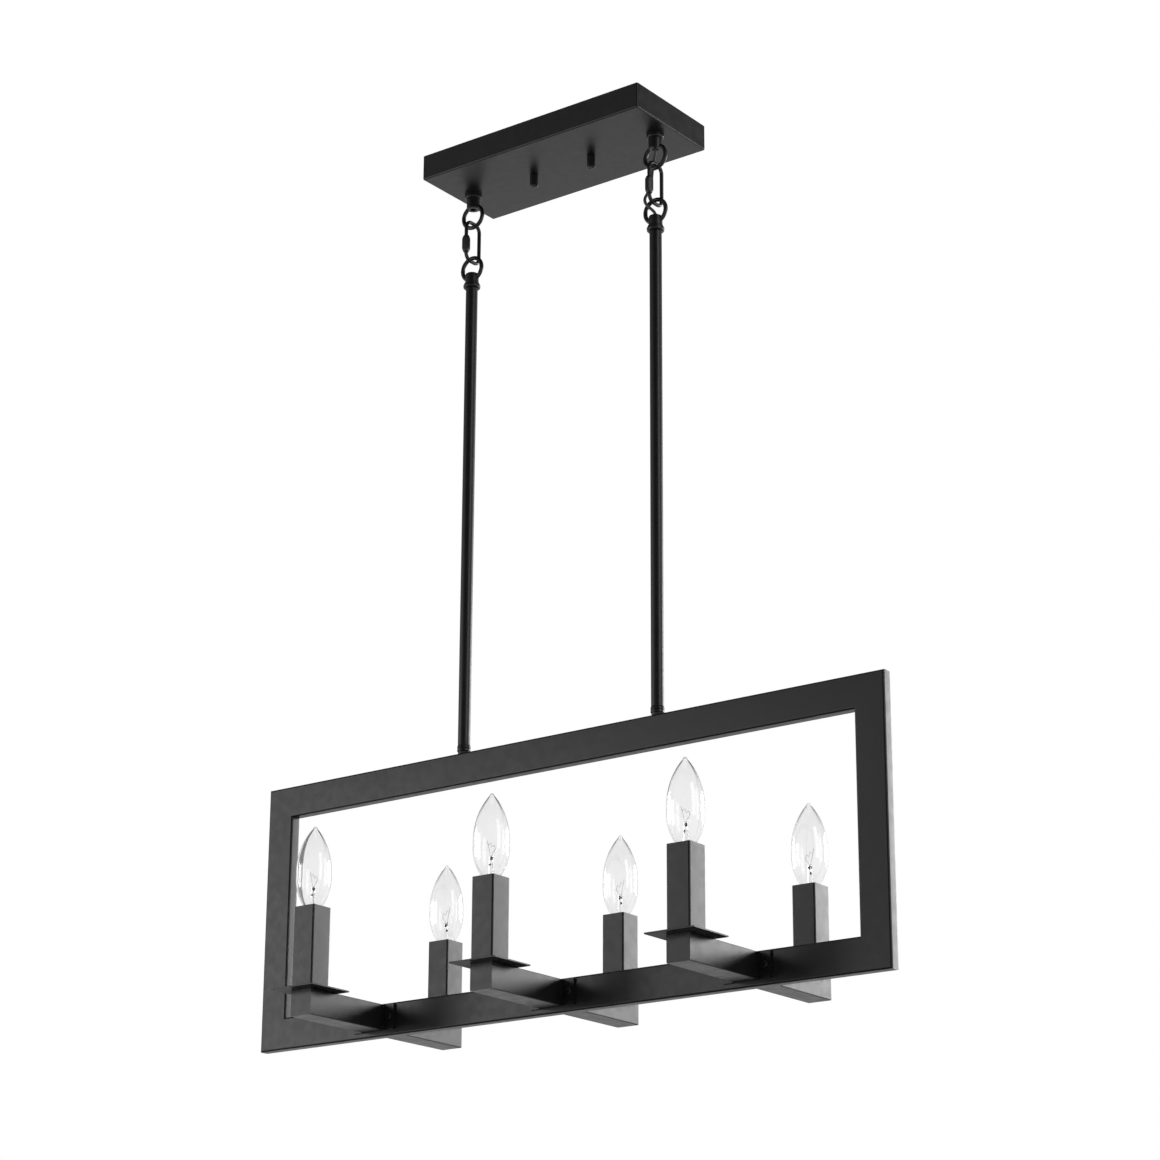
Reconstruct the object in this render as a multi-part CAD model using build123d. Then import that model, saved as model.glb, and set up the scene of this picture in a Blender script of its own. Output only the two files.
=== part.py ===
from build123d import *
import os
from math import cos, radians, tan

# Linear island pendant: a flat rectangular frame hung on edge from two round rods, with three
# cross arms at its foot and an upright square candle light on each of their six ends.
# Millimetres. +X runs along the frame, +Y across it, +Z up. The origin is the middle of the
# ceiling bracket's top face, so everything hangs below Z = 0.

os.makedirs("parts", exist_ok=True)

# ---- driving dimensions -----------------------------------------------------------------

# canopy: a shallow folded pan, open upwards
CANOPY_LENGTH = 284.0
CANOPY_WIDTH = 122.0
CANOPY_DEPTH = 28.0
CANOPY_SHEET = 1.2
CANOPY_EDGE_RADIUS = 1.6

# cross-shaped bracket that screws to the ceiling box, its two studs and the thumb nuts
BRACKET_LENGTH = 110.0
BRACKET_REACH = 108.0
BRACKET_BAR = 22.0
BRACKET_SHEET = 1.6
BRACKET_CORNER_RADIUS = 3.0
BOX_SCREW_SPACING = 88.9
BOX_SLOT_WIDTH = 5.0
BOX_SLOT_LENGTH = 12.0
STUD_SPACING = 76.0
STUD_DIAMETER = 4.2
STUD_NUT_FLATS = 7.0
STUD_NUT_HEIGHT = 3.2
THUMB_NUT_DIAMETER = 8.8
THUMB_NUT_LENGTH = 14.0
THUMB_NUT_BORE_DEPTH = 11.0
THUMB_NUT_CHAMFER = 1.0
THUMB_NUT_SLOT = 1.2
THUMB_NUT_SLOT_DEPTH = 1.8

# the two hanging points
HANG_FROM_CANOPY_END = 21.0
RING_OUTER = 30.0
RING_WIRE = 4.5
RING_DROP = 26.0
HUB_DIAMETER = 14.2
HUB_INTO_RING = 2.0
HUB_CHAMFER = 0.8
COLLAR_DIAMETER = 18.4
COLLAR_HEIGHT = 5.5
COLLAR_EDGE_RADIUS = 1.6
PIPE_THREAD = 9.6
WIRE_BORE = 6.4
PIPE_NUT_FLATS = 14.0
PIPE_NUT_HEIGHT = 3.5
PIPE_THREAD_SHOWING = 2.0

# threaded oval links
LINK_LENGTH = 49.5
LINK_WIDTH = 26.0
LINK_WIRE = 4.0
LINK_CORNER_RADIUS = 8.0
LINK_MOUTH = 4.0
LINK_MOUTH_ABOVE_BEND = 3.5
SLEEVE_NUT_FLATS = 8.2
SLEEVE_NUT_LENGTH = 18.6
SLEEVE_NUT_ABOVE_BEND = 0.5
SLEEVE_NUT_TAPER = 4.0

# the rods and the fittings at their ends
ROD_DIAMETER = 12.7
ROD_WALL = 1.2
ROD_LENGTH = 508.0
ROD_HUB_DIAMETER = 14.4
ROD_HUB_INTO_RING = 5.0
ROD_HUB_DOME_RADIUS = 2.0
BEAD_DIAMETER = 18.3
BEAD_HEIGHT = 4.3
UPPER_BEAD_DIAMETER = 16.6
UPPER_BEAD_HEIGHT = 2.2
BEAD_BELOW_RING = 1.6
SPIGOT_LENGTH = 10.0
COUPLING_DIAMETER = 13.7
COUPLING_COLLAR = 3.0
COUPLING_RING = 2.6
COUPLING_FOOT = 2.0
COUPLING_GROOVE = 0.7
COUPLING_GROOVE_DEPTH = 0.7
COUPLING_THREAD = 8.0
COUPLING_BORE = 5.4
COUPLING_THREAD_LENGTH = 7.0
WELD_NUT_LENGTH = 14.0
WELD_NUT_HEIGHT = 5.0

# frame: four mitred lengths of flat rectangular tube
FRAME_LENGTH = 762.0
FRAME_HEIGHT = 279.4
RAIL_FACE = 33.0
RAIL_DEPTH = 12.7
RAIL_WALL = 1.5
RAIL_EDGE_RADIUS = 1.2

# cross arms
ARM_SPACING = 226.0
ARM_REACH = 117.5
ARM_WIDTH = 26.0
ARM_HEIGHT = 26.0
ARM_WALL = 1.2
ARM_EDGE_RADIUS = 1.0
ARM_BELOW_RAIL_TOP = 1.5
ARM_SHOULDER_LENGTH = 1.5
ARM_SHOULDER_PROUD = 1.8
FLANGE_EAR = 14.0
FLANGE_SHEET = 2.5
FLANGE_CORNER_RADIUS = 1.0
FLANGE_BORE = 10.0
ARM_SCREW_DIAMETER = 4.0
ARM_SCREW_HEAD = 7.2
ARM_SCREW_HEAD_HEIGHT = 2.2
ARM_SCREW_LENGTH = 5.4

# candle lights
PLATE_SIZE = 55.0
PLATE_SHEET = 1.5
SLEEVE_WIDTH = 26.0
SLEEVE_HEIGHT = 82.5
SLEEVE_WALL = 1.0
SLEEVE_EDGE_RADIUS = 1.0
HOLDER_DIAMETER = 21.0
HOLDER_HEIGHT = 32.0
HOLDER_BELOW_SLEEVE_TOP = 4.5
HOLDER_RIM_SET_IN = 1.6
HOLDER_RIM_HEIGHT = 2.0
STEM_INTO_HOLDER = 5.0

# candelabra bulbs
BULB_GLASS_LENGTH = 85.0
BULB_DIAMETER = 35.0
BULB_WIDEST_BELOW_TIP = 50.0
BULB_TIP_RADIUS = 2.2
BULB_NECK_DIAMETER = 14.0
BULB_NECK_ABOVE_HOLDER = 2.0
BULB_WALL = 0.8
BASE_DIAMETER = 11.6
BASE_SHELL_LENGTH = 13.6
BASE_CONTACT_DIAMETER = 5.0
BASE_CONTACT_LENGTH = 5.2
GLASS_STEM_DIAMETER = 4.4
GLASS_STEM_HEIGHT = 24.0
GLASS_STEM_FLARE = 3.0

# wiring
CORD_DIAMETER = 3.2
BRANCH_DIAMETER = 2.6
WIRE_BEND = 9.0
LEAD_OFFSET = 24.0

# clearances
SEAT_GAP = 0.3
THREAD_CLEARANCE = 0.06
BOLT_CLEARANCE = 0.15
BORE_CLEARANCE = 0.4
HOLE_CLEARANCE = 0.3

# ---- places worked out from the dimensions ----------------------------------------------

HANG_X = CANOPY_LENGTH / 2 - HANG_FROM_CANOPY_END
SIDES = {"left": -1, "right": 1}

floor_z = -CANOPY_DEPTH
ring_radius = (RING_OUTER - RING_WIRE) / 2
ring_hole = RING_OUTER / 2 - RING_WIRE
crossing = (RING_WIRE + LINK_WIRE) / 2 + SEAT_GAP

ring_z = floor_z - RING_DROP
hub_foot_z = ring_z + ring_hole - HUB_INTO_RING
link_top_z = ring_z - ring_radius + crossing
link_foot_z = link_top_z - (LINK_LENGTH - LINK_WIRE)
rod_ring_z = link_foot_z + crossing - ring_radius
rod_hub_top_z = rod_ring_z - ring_hole + ROD_HUB_INTO_RING
bead_top_z = rod_ring_z - RING_OUTER / 2 - BEAD_BELOW_RING
rod_top_z = bead_top_z - UPPER_BEAD_HEIGHT - BEAD_HEIGHT
rod_foot_z = rod_top_z - ROD_LENGTH
coupling_height = COUPLING_COLLAR + COUPLING_RING + COUPLING_FOOT + 2 * COUPLING_GROOVE
frame_top_z = rod_foot_z - coupling_height
frame_foot_z = frame_top_z - FRAME_HEIGHT
frame_mid_z = (frame_top_z + frame_foot_z) / 2

rail_face_y = RAIL_DEPTH / 2
arm_top_z = frame_foot_z + RAIL_FACE - ARM_BELOW_RAIL_TOP
arm_mid_z = arm_top_z - ARM_HEIGHT / 2
flange_screw_x = (ARM_WIDTH + FLANGE_EAR + ARM_SHOULDER_PROUD) / 2
light_y = ARM_REACH - ARM_WIDTH / 2
plate_top_z = arm_top_z + PLATE_SHEET
sleeve_top_z = plate_top_z + SLEEVE_HEIGHT
holder_top_z = sleeve_top_z - HOLDER_BELOW_SLEEVE_TOP
holder_foot_z = holder_top_z - HOLDER_HEIGHT
neck_z = holder_top_z + BULB_NECK_ABOVE_HOLDER
tip_z = neck_z + BULB_GLASS_LENGTH
contact_z = neck_z - BASE_SHELL_LENGTH - BASE_CONTACT_LENGTH

# where the three arms cross, and the six lights: front row first, each from left to right
ARM_PLACES = [-ARM_SPACING, 0.0, ARM_SPACING]
LIGHTS = [(x, row) for row in (-1, 1) for x in ARM_PLACES]

HANGING = (Align.CENTER, Align.CENTER, Align.MAX)
STANDING = (Align.CENTER, Align.CENTER, Align.MIN)


# ---- shared forms -----------------------------------------------------------------------


def post(diameter, z_low, z_high, x=0.0, y=0.0):
    """An upright round bar between two heights."""
    return Pos(x, y, z_low) * Cylinder(diameter / 2, z_high - z_low, align=STANDING)


def hex_nut(flats, bore, z_low, z_high, x=0.0, y=0.0):
    """An upright hexagonal nut between two heights."""
    outline = RegularPolygon(flats / 2, 6, major_radius=False) - Circle(bore / 2)
    return Pos(x, y, z_low) * extrude(outline, z_high - z_low)


def turned(points, x=0.0, y=0.0):
    """A turned piece: an outline of radius and height, spun about an upright axis."""
    outline = make_face(Polyline(*[(radius, 0, z) for radius, z in points], close=True))
    return Pos(x, y, 0) * revolve(outline, Axis.Z)


def tube_section(width, depth, wall, edge_radius):
    """The section of a folded tube with slightly rounded corners."""
    inside_radius = max(edge_radius - wall, 0.2 * wall)
    inside = RectangleRounded(width - 2 * wall, depth - 2 * wall, inside_radius)
    return RectangleRounded(width, depth, edge_radius) - inside


def outwards(sketch, y_from, length):
    """A sketch of width and height in the arm's middle, extruded along +Y from a distance."""
    return Pos(0, y_from, arm_mid_z) * extrude(Plane.XZ * sketch, -length)


def on_arm(solid, x, row):
    """Takes a piece modelled at X = 0 on the +Y side to its own arm."""
    return Pos(x, 0, 0) * Rot(0, 0, 0 if row > 0 else 180) * solid


def hanging_ring(z):
    """A wire ring standing upright, its hole facing across the frame."""
    return Pos(0, 0, z) * Rot(90, 0, 0) * Torus(ring_radius, RING_WIRE / 2)


def wire_along(path, diameter):
    """A round wire swept along a path."""
    section = Plane(origin=path @ 0, z_dir=path % 0) * Circle(diameter / 2)
    return sweep(section, path=path)


def cord_path(points):
    """Straight runs joined by tangent arcs, each as large as its two runs allow."""
    stops = [Vector(*point) for point in points]
    runs = [after - before for before, after in zip(stops, stops[1:])]
    bends = []
    for before, after in zip(runs, runs[1:]):
        half_turn = radians(before.get_angle(after)) / 2
        bends.append(0.45 * min(before.length, after.length) / tan(half_turn))
    print("cord bend radii", [round(bend, 1) for bend in bends])
    return FilletPolyline(*stops, radius=bends)


def save(pieces, name):
    """Writes one named piece, or a group of like pieces."""
    solids = [solid for piece in pieces for solid in piece.solids()]
    export_step(solids[0] if len(solids) == 1 else Compound(children=solids), f"parts/{name}.step")


# ---- canopy and what it hangs from ------------------------------------------------------


def canopy_pan():
    outside = Box(CANOPY_LENGTH, CANOPY_WIDTH, CANOPY_DEPTH, align=HANGING)
    folds = outside.edges().filter_by(Axis.Z) + outside.faces().sort_by(Axis.Z)[0].edges()
    outside = fillet(folds, CANOPY_EDGE_RADIUS)
    inside = Box(
        CANOPY_LENGTH - 2 * CANOPY_SHEET,
        CANOPY_WIDTH - 2 * CANOPY_SHEET,
        CANOPY_DEPTH - CANOPY_SHEET,
        align=HANGING,
    )
    pan = outside - inside
    for side in SIDES.values():
        pan -= post(PIPE_THREAD + 2 * HOLE_CLEARANCE, floor_z - 1, 0, side * HANG_X)
        pan -= post(STUD_DIAMETER + 2 * HOLE_CLEARANCE, floor_z - 1, 0, side * STUD_SPACING / 2)
    return pan


def mounting_bracket():
    outline = Rectangle(BRACKET_LENGTH, BRACKET_BAR) + Rectangle(BRACKET_BAR, BRACKET_REACH)
    outline = fillet(outline.vertices(), BRACKET_CORNER_RADIUS)
    for side in SIDES.values():
        slot = SlotOverall(BOX_SLOT_LENGTH, BOX_SLOT_WIDTH, rotation=90)
        outline -= Pos(0, side * BOX_SCREW_SPACING / 2) * slot
        outline -= Pos(side * STUD_SPACING / 2, 0) * Circle(STUD_DIAMETER / 2 + THREAD_CLEARANCE)
    return Pos(0, 0, -BRACKET_SHEET) * extrude(outline, BRACKET_SHEET)


def canopy_stud(side):
    foot_z = floor_z - THUMB_NUT_BORE_DEPTH
    return post(STUD_DIAMETER, foot_z, 0, side * STUD_SPACING / 2)


def stud_lock_nut(side):
    top_z = -BRACKET_SHEET
    bore = STUD_DIAMETER + 2 * THREAD_CLEARANCE
    return hex_nut(STUD_NUT_FLATS, bore, top_z - STUD_NUT_HEIGHT, top_z, side * STUD_SPACING / 2)


def thumb_nut(side):
    """Blind nut that closes the canopy on its stud, chamfered and slotted at its foot."""
    x = side * STUD_SPACING / 2
    top_z = floor_z - SEAT_GAP
    foot_z = top_z - THUMB_NUT_LENGTH
    nut = post(THUMB_NUT_DIAMETER, foot_z, top_z, x)
    nut = chamfer(nut.edges().group_by(Axis.Z)[0], THUMB_NUT_CHAMFER)
    slot = Box(THUMB_NUT_DIAMETER, THUMB_NUT_SLOT, THUMB_NUT_SLOT_DEPTH, align=STANDING)
    nut -= Pos(x, 0, foot_z) * slot
    bore = STUD_DIAMETER + 2 * THREAD_CLEARANCE
    return nut - post(bore, top_z - THUMB_NUT_BORE_DEPTH, top_z, x)


def canopy_loop(side):
    """Hollow threaded pipe through the canopy, its hub below, and the ring that hangs from it."""
    collar_foot_z = floor_z - COLLAR_HEIGHT
    pipe_top_z = floor_z + CANOPY_SHEET + PIPE_NUT_HEIGHT + PIPE_THREAD_SHOWING
    hub = post(HUB_DIAMETER, hub_foot_z, collar_foot_z)
    hub = chamfer(hub.edges().group_by(Axis.Z)[0], HUB_CHAMFER)
    loop = hub + post(PIPE_THREAD, collar_foot_z, pipe_top_z) + hanging_ring(ring_z)
    loop -= post(WIRE_BORE, hub_foot_z - RING_WIRE, pipe_top_z)
    return Pos(side * HANG_X, 0, 0) * loop


def loop_collar(side):
    x = side * HANG_X
    collar = post(COLLAR_DIAMETER, floor_z - COLLAR_HEIGHT, floor_z, x)
    collar = fillet(collar.edges().group_by(Axis.Z)[0], COLLAR_EDGE_RADIUS)
    return collar - post(PIPE_THREAD + 2 * BOLT_CLEARANCE, floor_z - COLLAR_HEIGHT, floor_z, x)


def pipe_nut(z_low, x, y=0.0):
    bore = PIPE_THREAD + 2 * THREAD_CLEARANCE
    return hex_nut(PIPE_NUT_FLATS, bore, z_low, z_low + PIPE_NUT_HEIGHT, x, y)


# ---- threaded oval links ----------------------------------------------------------------


def quick_link(side):
    """Oval of round wire, open at one side, where a sleeve nut bridges its mouth."""
    half = (LINK_WIDTH - LINK_WIRE) / 2
    mouth_low = link_foot_z + LINK_CORNER_RADIUS + LINK_MOUTH_ABOVE_BEND
    path = FilletPolyline(
        (0, -half, mouth_low),
        (0, -half, link_foot_z),
        (0, half, link_foot_z),
        (0, half, link_top_z),
        (0, -half, link_top_z),
        (0, -half, mouth_low + LINK_MOUTH),
        radius=LINK_CORNER_RADIUS,
    )
    return Pos(side * HANG_X, 0, 0) * wire_along(path, LINK_WIRE)


def link_sleeve(side):
    """Hexagonal sleeve nut with tapered ends, on the front bar of its link."""
    x = side * HANG_X
    y = -(LINK_WIDTH - LINK_WIRE) / 2
    foot_z = link_foot_z + LINK_CORNER_RADIUS + SLEEVE_NUT_ABOVE_BEND
    top_z = foot_z + SLEEVE_NUT_LENGTH
    corner = SLEEVE_NUT_FLATS / 2 / cos(radians(30))
    end = (LINK_WIRE + SLEEVE_NUT_FLATS) / 4
    outline = [
        (0, foot_z),
        (end, foot_z),
        (corner, foot_z + SLEEVE_NUT_TAPER),
        (corner, top_z - SLEEVE_NUT_TAPER),
        (end, top_z),
        (0, top_z),
    ]
    bore = LINK_WIRE + 2 * THREAD_CLEARANCE
    return hex_nut(SLEEVE_NUT_FLATS, bore, foot_z, top_z, x, y) & turned(outline, x, y)


# ---- rods -------------------------------------------------------------------------------


def rod_loop(side):
    """Ring on a domed hub, with a double bead and a spigot that screws into the rod."""
    spigot_foot_z = rod_top_z - SPIGOT_LENGTH
    lower_bead_z = rod_top_z + BEAD_HEIGHT
    hub = post(ROD_HUB_DIAMETER, lower_bead_z, rod_hub_top_z)
    hub = fillet(hub.edges().group_by(Axis.Z)[-1], ROD_HUB_DOME_RADIUS)
    upper_bead = post(UPPER_BEAD_DIAMETER, lower_bead_z, bead_top_z)
    upper_bead = fillet(upper_bead.edges().group_by(Axis.Z)[-1], 0.5 * UPPER_BEAD_HEIGHT)
    bead = post(BEAD_DIAMETER, rod_top_z, lower_bead_z)
    bead = fillet(bead.edges().filter_by(GeomType.CIRCLE), 0.4 * BEAD_HEIGHT)
    spigot = post(ROD_DIAMETER - 2 * ROD_WALL - 2 * THREAD_CLEARANCE, spigot_foot_z, rod_top_z)
    loop = hub + upper_bead + bead + spigot + hanging_ring(rod_ring_z)
    loop -= post(WIRE_BORE, spigot_foot_z, rod_ring_z)
    return Pos(side * HANG_X, 0, 0) * loop


def downrod(side):
    x = side * HANG_X
    rod = post(ROD_DIAMETER, rod_foot_z, rod_top_z, x)
    return rod - post(ROD_DIAMETER - 2 * ROD_WALL, rod_foot_z, rod_top_z, x)


def rod_coupling(side):
    """Turned coupling between rod and frame: collar, groove, ring, groove and a tapered foot."""
    outer = COUPLING_DIAMETER / 2
    rod = ROD_DIAMETER / 2
    groove = rod - COUPLING_GROOVE_DEPTH
    spigot = rod - ROD_WALL - THREAD_CLEARANCE
    thread = COUPLING_THREAD / 2
    bore = COUPLING_BORE / 2
    collar_foot_z = rod_foot_z - COUPLING_COLLAR
    ring_top_z = collar_foot_z - COUPLING_GROOVE
    ring_foot_z = ring_top_z - COUPLING_RING
    foot_top_z = ring_foot_z - COUPLING_GROOVE
    outline = [
        (bore, rod_foot_z + SPIGOT_LENGTH),
        (spigot, rod_foot_z + SPIGOT_LENGTH),
        (spigot, rod_foot_z),
        (rod, rod_foot_z),
        (outer, rod_foot_z - COUPLING_COLLAR / 3),
        (outer, collar_foot_z),
        (groove, collar_foot_z),
        (groove, ring_top_z),
        (outer, ring_top_z),
        (outer, ring_foot_z),
        (groove, ring_foot_z),
        (groove, foot_top_z),
        (rod, foot_top_z),
        (groove, frame_top_z),
        (thread, frame_top_z),
        (thread, frame_top_z - COUPLING_THREAD_LENGTH),
        (bore, frame_top_z - COUPLING_THREAD_LENGTH),
    ]
    return turned(outline, side * HANG_X)


# ---- frame ------------------------------------------------------------------------------


def mitred_tube(length):
    """A length of rail along X with both ends cut at 45 degrees, its long face up."""
    section = Plane.YZ * tube_section(RAIL_DEPTH, RAIL_FACE, RAIL_WALL, RAIL_EDGE_RADIUS)
    half = RAIL_FACE / 2
    outline = Polygon(
        (-length / 2, half),
        (length / 2, half),
        (length / 2 - RAIL_FACE, -half),
        (-length / 2 + RAIL_FACE, -half),
        align=None,
    )
    tube = extrude(section, length / 2, both=True)
    return tube & extrude(Plane.XZ * outline, RAIL_DEPTH, both=True)


def top_rail():
    """Tube with a square nut welded under its top wall for each rod's coupling."""
    rail = Pos(0, 0, frame_top_z - RAIL_FACE / 2) * mitred_tube(FRAME_LENGTH)
    wall_foot_z = frame_top_z - RAIL_WALL
    for side in SIDES.values():
        x = side * HANG_X
        nut_depth = RAIL_DEPTH - 2 * RAIL_WALL - 2 * HOLE_CLEARANCE
        nut = Box(WELD_NUT_LENGTH, nut_depth, WELD_NUT_HEIGHT, align=HANGING)
        rail += Pos(x, 0, wall_foot_z) * nut
        tapped = COUPLING_THREAD + 2 * THREAD_CLEARANCE
        rail -= post(tapped, wall_foot_z - WELD_NUT_HEIGHT, frame_top_z, x)
    return rail


def bottom_rail():
    rail = Rot(180, 0, 0) * mitred_tube(FRAME_LENGTH)
    rail = Pos(0, 0, frame_foot_z + RAIL_FACE / 2) * rail
    holes = Circle(FLANGE_BORE / 2)
    for ear in (-1, 1):
        holes += Pos(ear * flange_screw_x, 0) * Circle(ARM_SCREW_DIAMETER / 2 + THREAD_CLEARANCE)
    for x in ARM_PLACES:
        rail -= Pos(x, 0, 0) * outwards(holes, -RAIL_DEPTH, 2 * RAIL_DEPTH)
    return rail


def stile(side):
    tube = Rot(0, side * 90, 0) * mitred_tube(FRAME_HEIGHT)
    return Pos(side * (FRAME_LENGTH - RAIL_FACE) / 2, 0, frame_mid_z) * tube


# ---- cross arms -------------------------------------------------------------------------


def arm():
    """Half a cross arm: closed square tube with a shoulder and a two-eared flange at the rail."""
    tube_y = rail_face_y + FLANGE_SHEET
    length = ARM_REACH - tube_y
    flange = RectangleRounded(ARM_WIDTH + 2 * FLANGE_EAR, ARM_HEIGHT, FLANGE_CORNER_RADIUS)
    for ear in (-1, 1):
        flange -= Pos(ear * flange_screw_x, 0) * Circle(ARM_SCREW_DIAMETER / 2 + BOLT_CLEARANCE)
    shoulder = RectangleRounded(ARM_WIDTH + 2 * ARM_SHOULDER_PROUD, ARM_HEIGHT, ARM_EDGE_RADIUS)
    outside = RectangleRounded(ARM_WIDTH, ARM_HEIGHT, ARM_EDGE_RADIUS)
    inside = Rectangle(ARM_WIDTH - 2 * ARM_WALL, ARM_HEIGHT - 2 * ARM_WALL)
    half_arm = outwards(shoulder, tube_y, ARM_SHOULDER_LENGTH) + outwards(outside, tube_y, length)
    half_arm -= outwards(inside, tube_y, length - ARM_WALL)
    half_arm += outwards(flange - Circle(FLANGE_BORE / 2), rail_face_y, FLANGE_SHEET)
    stem_hole = PIPE_THREAD + 2 * HOLE_CLEARANCE
    return half_arm - post(stem_hole, arm_top_z - 2 * ARM_WALL, arm_top_z, 0, light_y)


def arm_screw(ear):
    """Pan-head screw through a flange ear into the rail's wall."""
    head_y = rail_face_y + FLANGE_SHEET
    head = outwards(Circle(ARM_SCREW_HEAD / 2), head_y, ARM_SCREW_HEAD_HEIGHT)
    head = fillet(head.edges().group_by(Axis.Y)[-1], 0.6 * ARM_SCREW_HEAD_HEIGHT)
    shank = outwards(Circle(ARM_SCREW_DIAMETER / 2), head_y - ARM_SCREW_LENGTH, ARM_SCREW_LENGTH)
    return Pos(ear * flange_screw_x, 0, 0) * (head + shank)


# ---- candle lights ----------------------------------------------------------------------


def drip_plate():
    plate = Pos(0, light_y, arm_top_z) * Box(PLATE_SIZE, PLATE_SIZE, PLATE_SHEET, align=STANDING)
    return plate - post(PIPE_THREAD + 2 * HOLE_CLEARANCE, arm_top_z, plate_top_z, 0, light_y)


def candle_sleeve():
    section = tube_section(SLEEVE_WIDTH, SLEEVE_WIDTH, SLEEVE_WALL, SLEEVE_EDGE_RADIUS)
    return Pos(0, light_y, plate_top_z) * extrude(section, SLEEVE_HEIGHT)


def holder_stem():
    foot_z = arm_top_z - ARM_WALL - PIPE_NUT_HEIGHT - PIPE_THREAD_SHOWING
    top_z = holder_foot_z + STEM_INTO_HOLDER
    stem = post(PIPE_THREAD, foot_z, top_z, 0, light_y)
    return stem - post(WIRE_BORE, foot_z, top_z, 0, light_y)


def holder_nuts():
    """One nut inside the arm and one on the plate clamp the stem."""
    inside_arm = pipe_nut(arm_top_z - ARM_WALL - PIPE_NUT_HEIGHT, 0, light_y)
    return [inside_arm, pipe_nut(plate_top_z, 0, light_y)]


def lamp_holder():
    """Moulded holder with a rim set in, a socket for the bulb and a tapped pocket for the stem."""
    body_top_z = holder_top_z - HOLDER_RIM_HEIGHT
    holder = post(HOLDER_DIAMETER, holder_foot_z, body_top_z, 0, light_y)
    holder += post(HOLDER_DIAMETER - 2 * HOLDER_RIM_SET_IN, body_top_z, holder_top_z, 0, light_y)
    socket = BASE_DIAMETER + 2 * BORE_CLEARANCE
    holder -= post(socket, contact_z - SEAT_GAP, holder_top_z, 0, light_y)
    thread = PIPE_THREAD + 2 * THREAD_CLEARANCE
    return holder - post(thread, holder_foot_z, holder_foot_z + STEM_INTO_HOLDER, 0, light_y)


def bulb_outline(wall):
    """Half a torpedo's outline, set in by a wall: blunt tip, long shoulder, drawn-in neck."""
    widest = BULB_DIAMETER / 2 - wall
    neck = BULB_NECK_DIAMETER / 2 - wall
    tip = BULB_TIP_RADIUS - 0.5 * wall
    top_z = tip_z - wall
    widest_z = tip_z - BULB_WIDEST_BELOW_TIP
    crown = ThreePointArc((0, 0, top_z), (0.7 * tip, 0, top_z - 0.3 * tip), (tip, 0, top_z - tip))
    shoulder = ThreePointArc(
        (tip, 0, top_z - tip),
        (0.66 * widest, 0, top_z - 0.35 * (top_z - widest_z)),
        (widest, 0, widest_z),
    )
    flank = ThreePointArc(
        (widest, 0, widest_z),
        (0.9 * widest, 0, (widest_z + neck_z) / 2),
        (neck, 0, neck_z),
    )
    closing = Polyline((neck, 0, neck_z), (0, 0, neck_z), (0, 0, top_z))
    return make_face(crown + shoulder + flank + closing)


def bulb_glass():
    """Clear envelope, open at its neck, and the glass stem that stands in it."""
    envelope = revolve(bulb_outline(0), Axis.Z) - revolve(bulb_outline(BULB_WALL), Axis.Z)
    flare = BULB_NECK_DIAMETER / 2 - BULB_WALL
    stem = GLASS_STEM_DIAMETER / 2
    outline = [
        (0, neck_z),
        (flare, neck_z),
        (flare, neck_z + BULB_WALL),
        (stem, neck_z + GLASS_STEM_FLARE),
        (stem, neck_z + GLASS_STEM_HEIGHT),
        (0, neck_z + GLASS_STEM_HEIGHT),
    ]
    return [Pos(0, light_y, 0) * envelope, turned(outline, 0, light_y)]


def bulb_base():
    """Screw shell, insulator cone and centre contact."""
    neck = BULB_NECK_DIAMETER / 2
    shell = BASE_DIAMETER / 2
    contact = BASE_CONTACT_DIAMETER / 2
    collar_z = holder_top_z + SEAT_GAP
    shell_foot_z = neck_z - BASE_SHELL_LENGTH
    outline = [
        (0, neck_z),
        (neck, neck_z),
        (neck, collar_z),
        (shell, collar_z),
        (shell, shell_foot_z),
        (contact, contact_z + contact / 2),
        (contact / 2, contact_z),
        (0, contact_z),
    ]
    return turned(outline, 0, light_y)


# ---- wiring -----------------------------------------------------------------------------

# The supply cord's open stretch at the right-hand hanging point, chosen by hand: offsets from
# that point's axis and from the canopy's underside. It leaves the upper hub, passes behind the
# ring's foot, comes down left of the link, crosses to the front and goes into the lower hub.
CORD_ROUTE_UPPER = [
    (0.0, 0.0, -17.5),
    (0.0, 0.0, -20.0),
    (-1.6, 1.8, -24.0),
    (-4.9, 5.4, -29.4),
    (-7.4, 8.4, -37.0),
    (-8.0, 7.8, -45.6),
    (-8.2, 5.2, -53.0),
    (-8.8, 2.0, -60.0),
]
CORD_ROUTE_LOWER = [
    (-8.8, 2.0, -60.0),
    (-9.22, -0.24, -64.9),
    (-9.9, -4.4, -71.0),
    (-8.8, -7.0, -77.0),
    (-6.0, -6.6, -82.6),
    (-2.4, -3.2, -86.4),
    (0.0, 0.0, -90.4),
    (0.0, 0.0, -93.4),
]


def supply_cord(route):
    path = cord_path([(HANG_X + dx, dy, floor_z + dz) for dx, dy, dz in route])
    return wire_along(path, CORD_DIAMETER)


def bent_wire(points, diameter):
    return wire_along(FilletPolyline(*points, radius=WIRE_BEND), diameter)


def canopy_lead():
    """The lead inside the canopy, from the ceiling box to the right-hand hub."""
    lead_z = -WIRE_BEND - CORD_DIAMETER / 2
    points = [
        (LEAD_OFFSET, LEAD_OFFSET, 0),
        (LEAD_OFFSET, LEAD_OFFSET, lead_z),
        (HANG_X, 0, lead_z),
        (HANG_X, 0, hub_foot_z),
    ]
    return bent_wire(points, CORD_DIAMETER)


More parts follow.
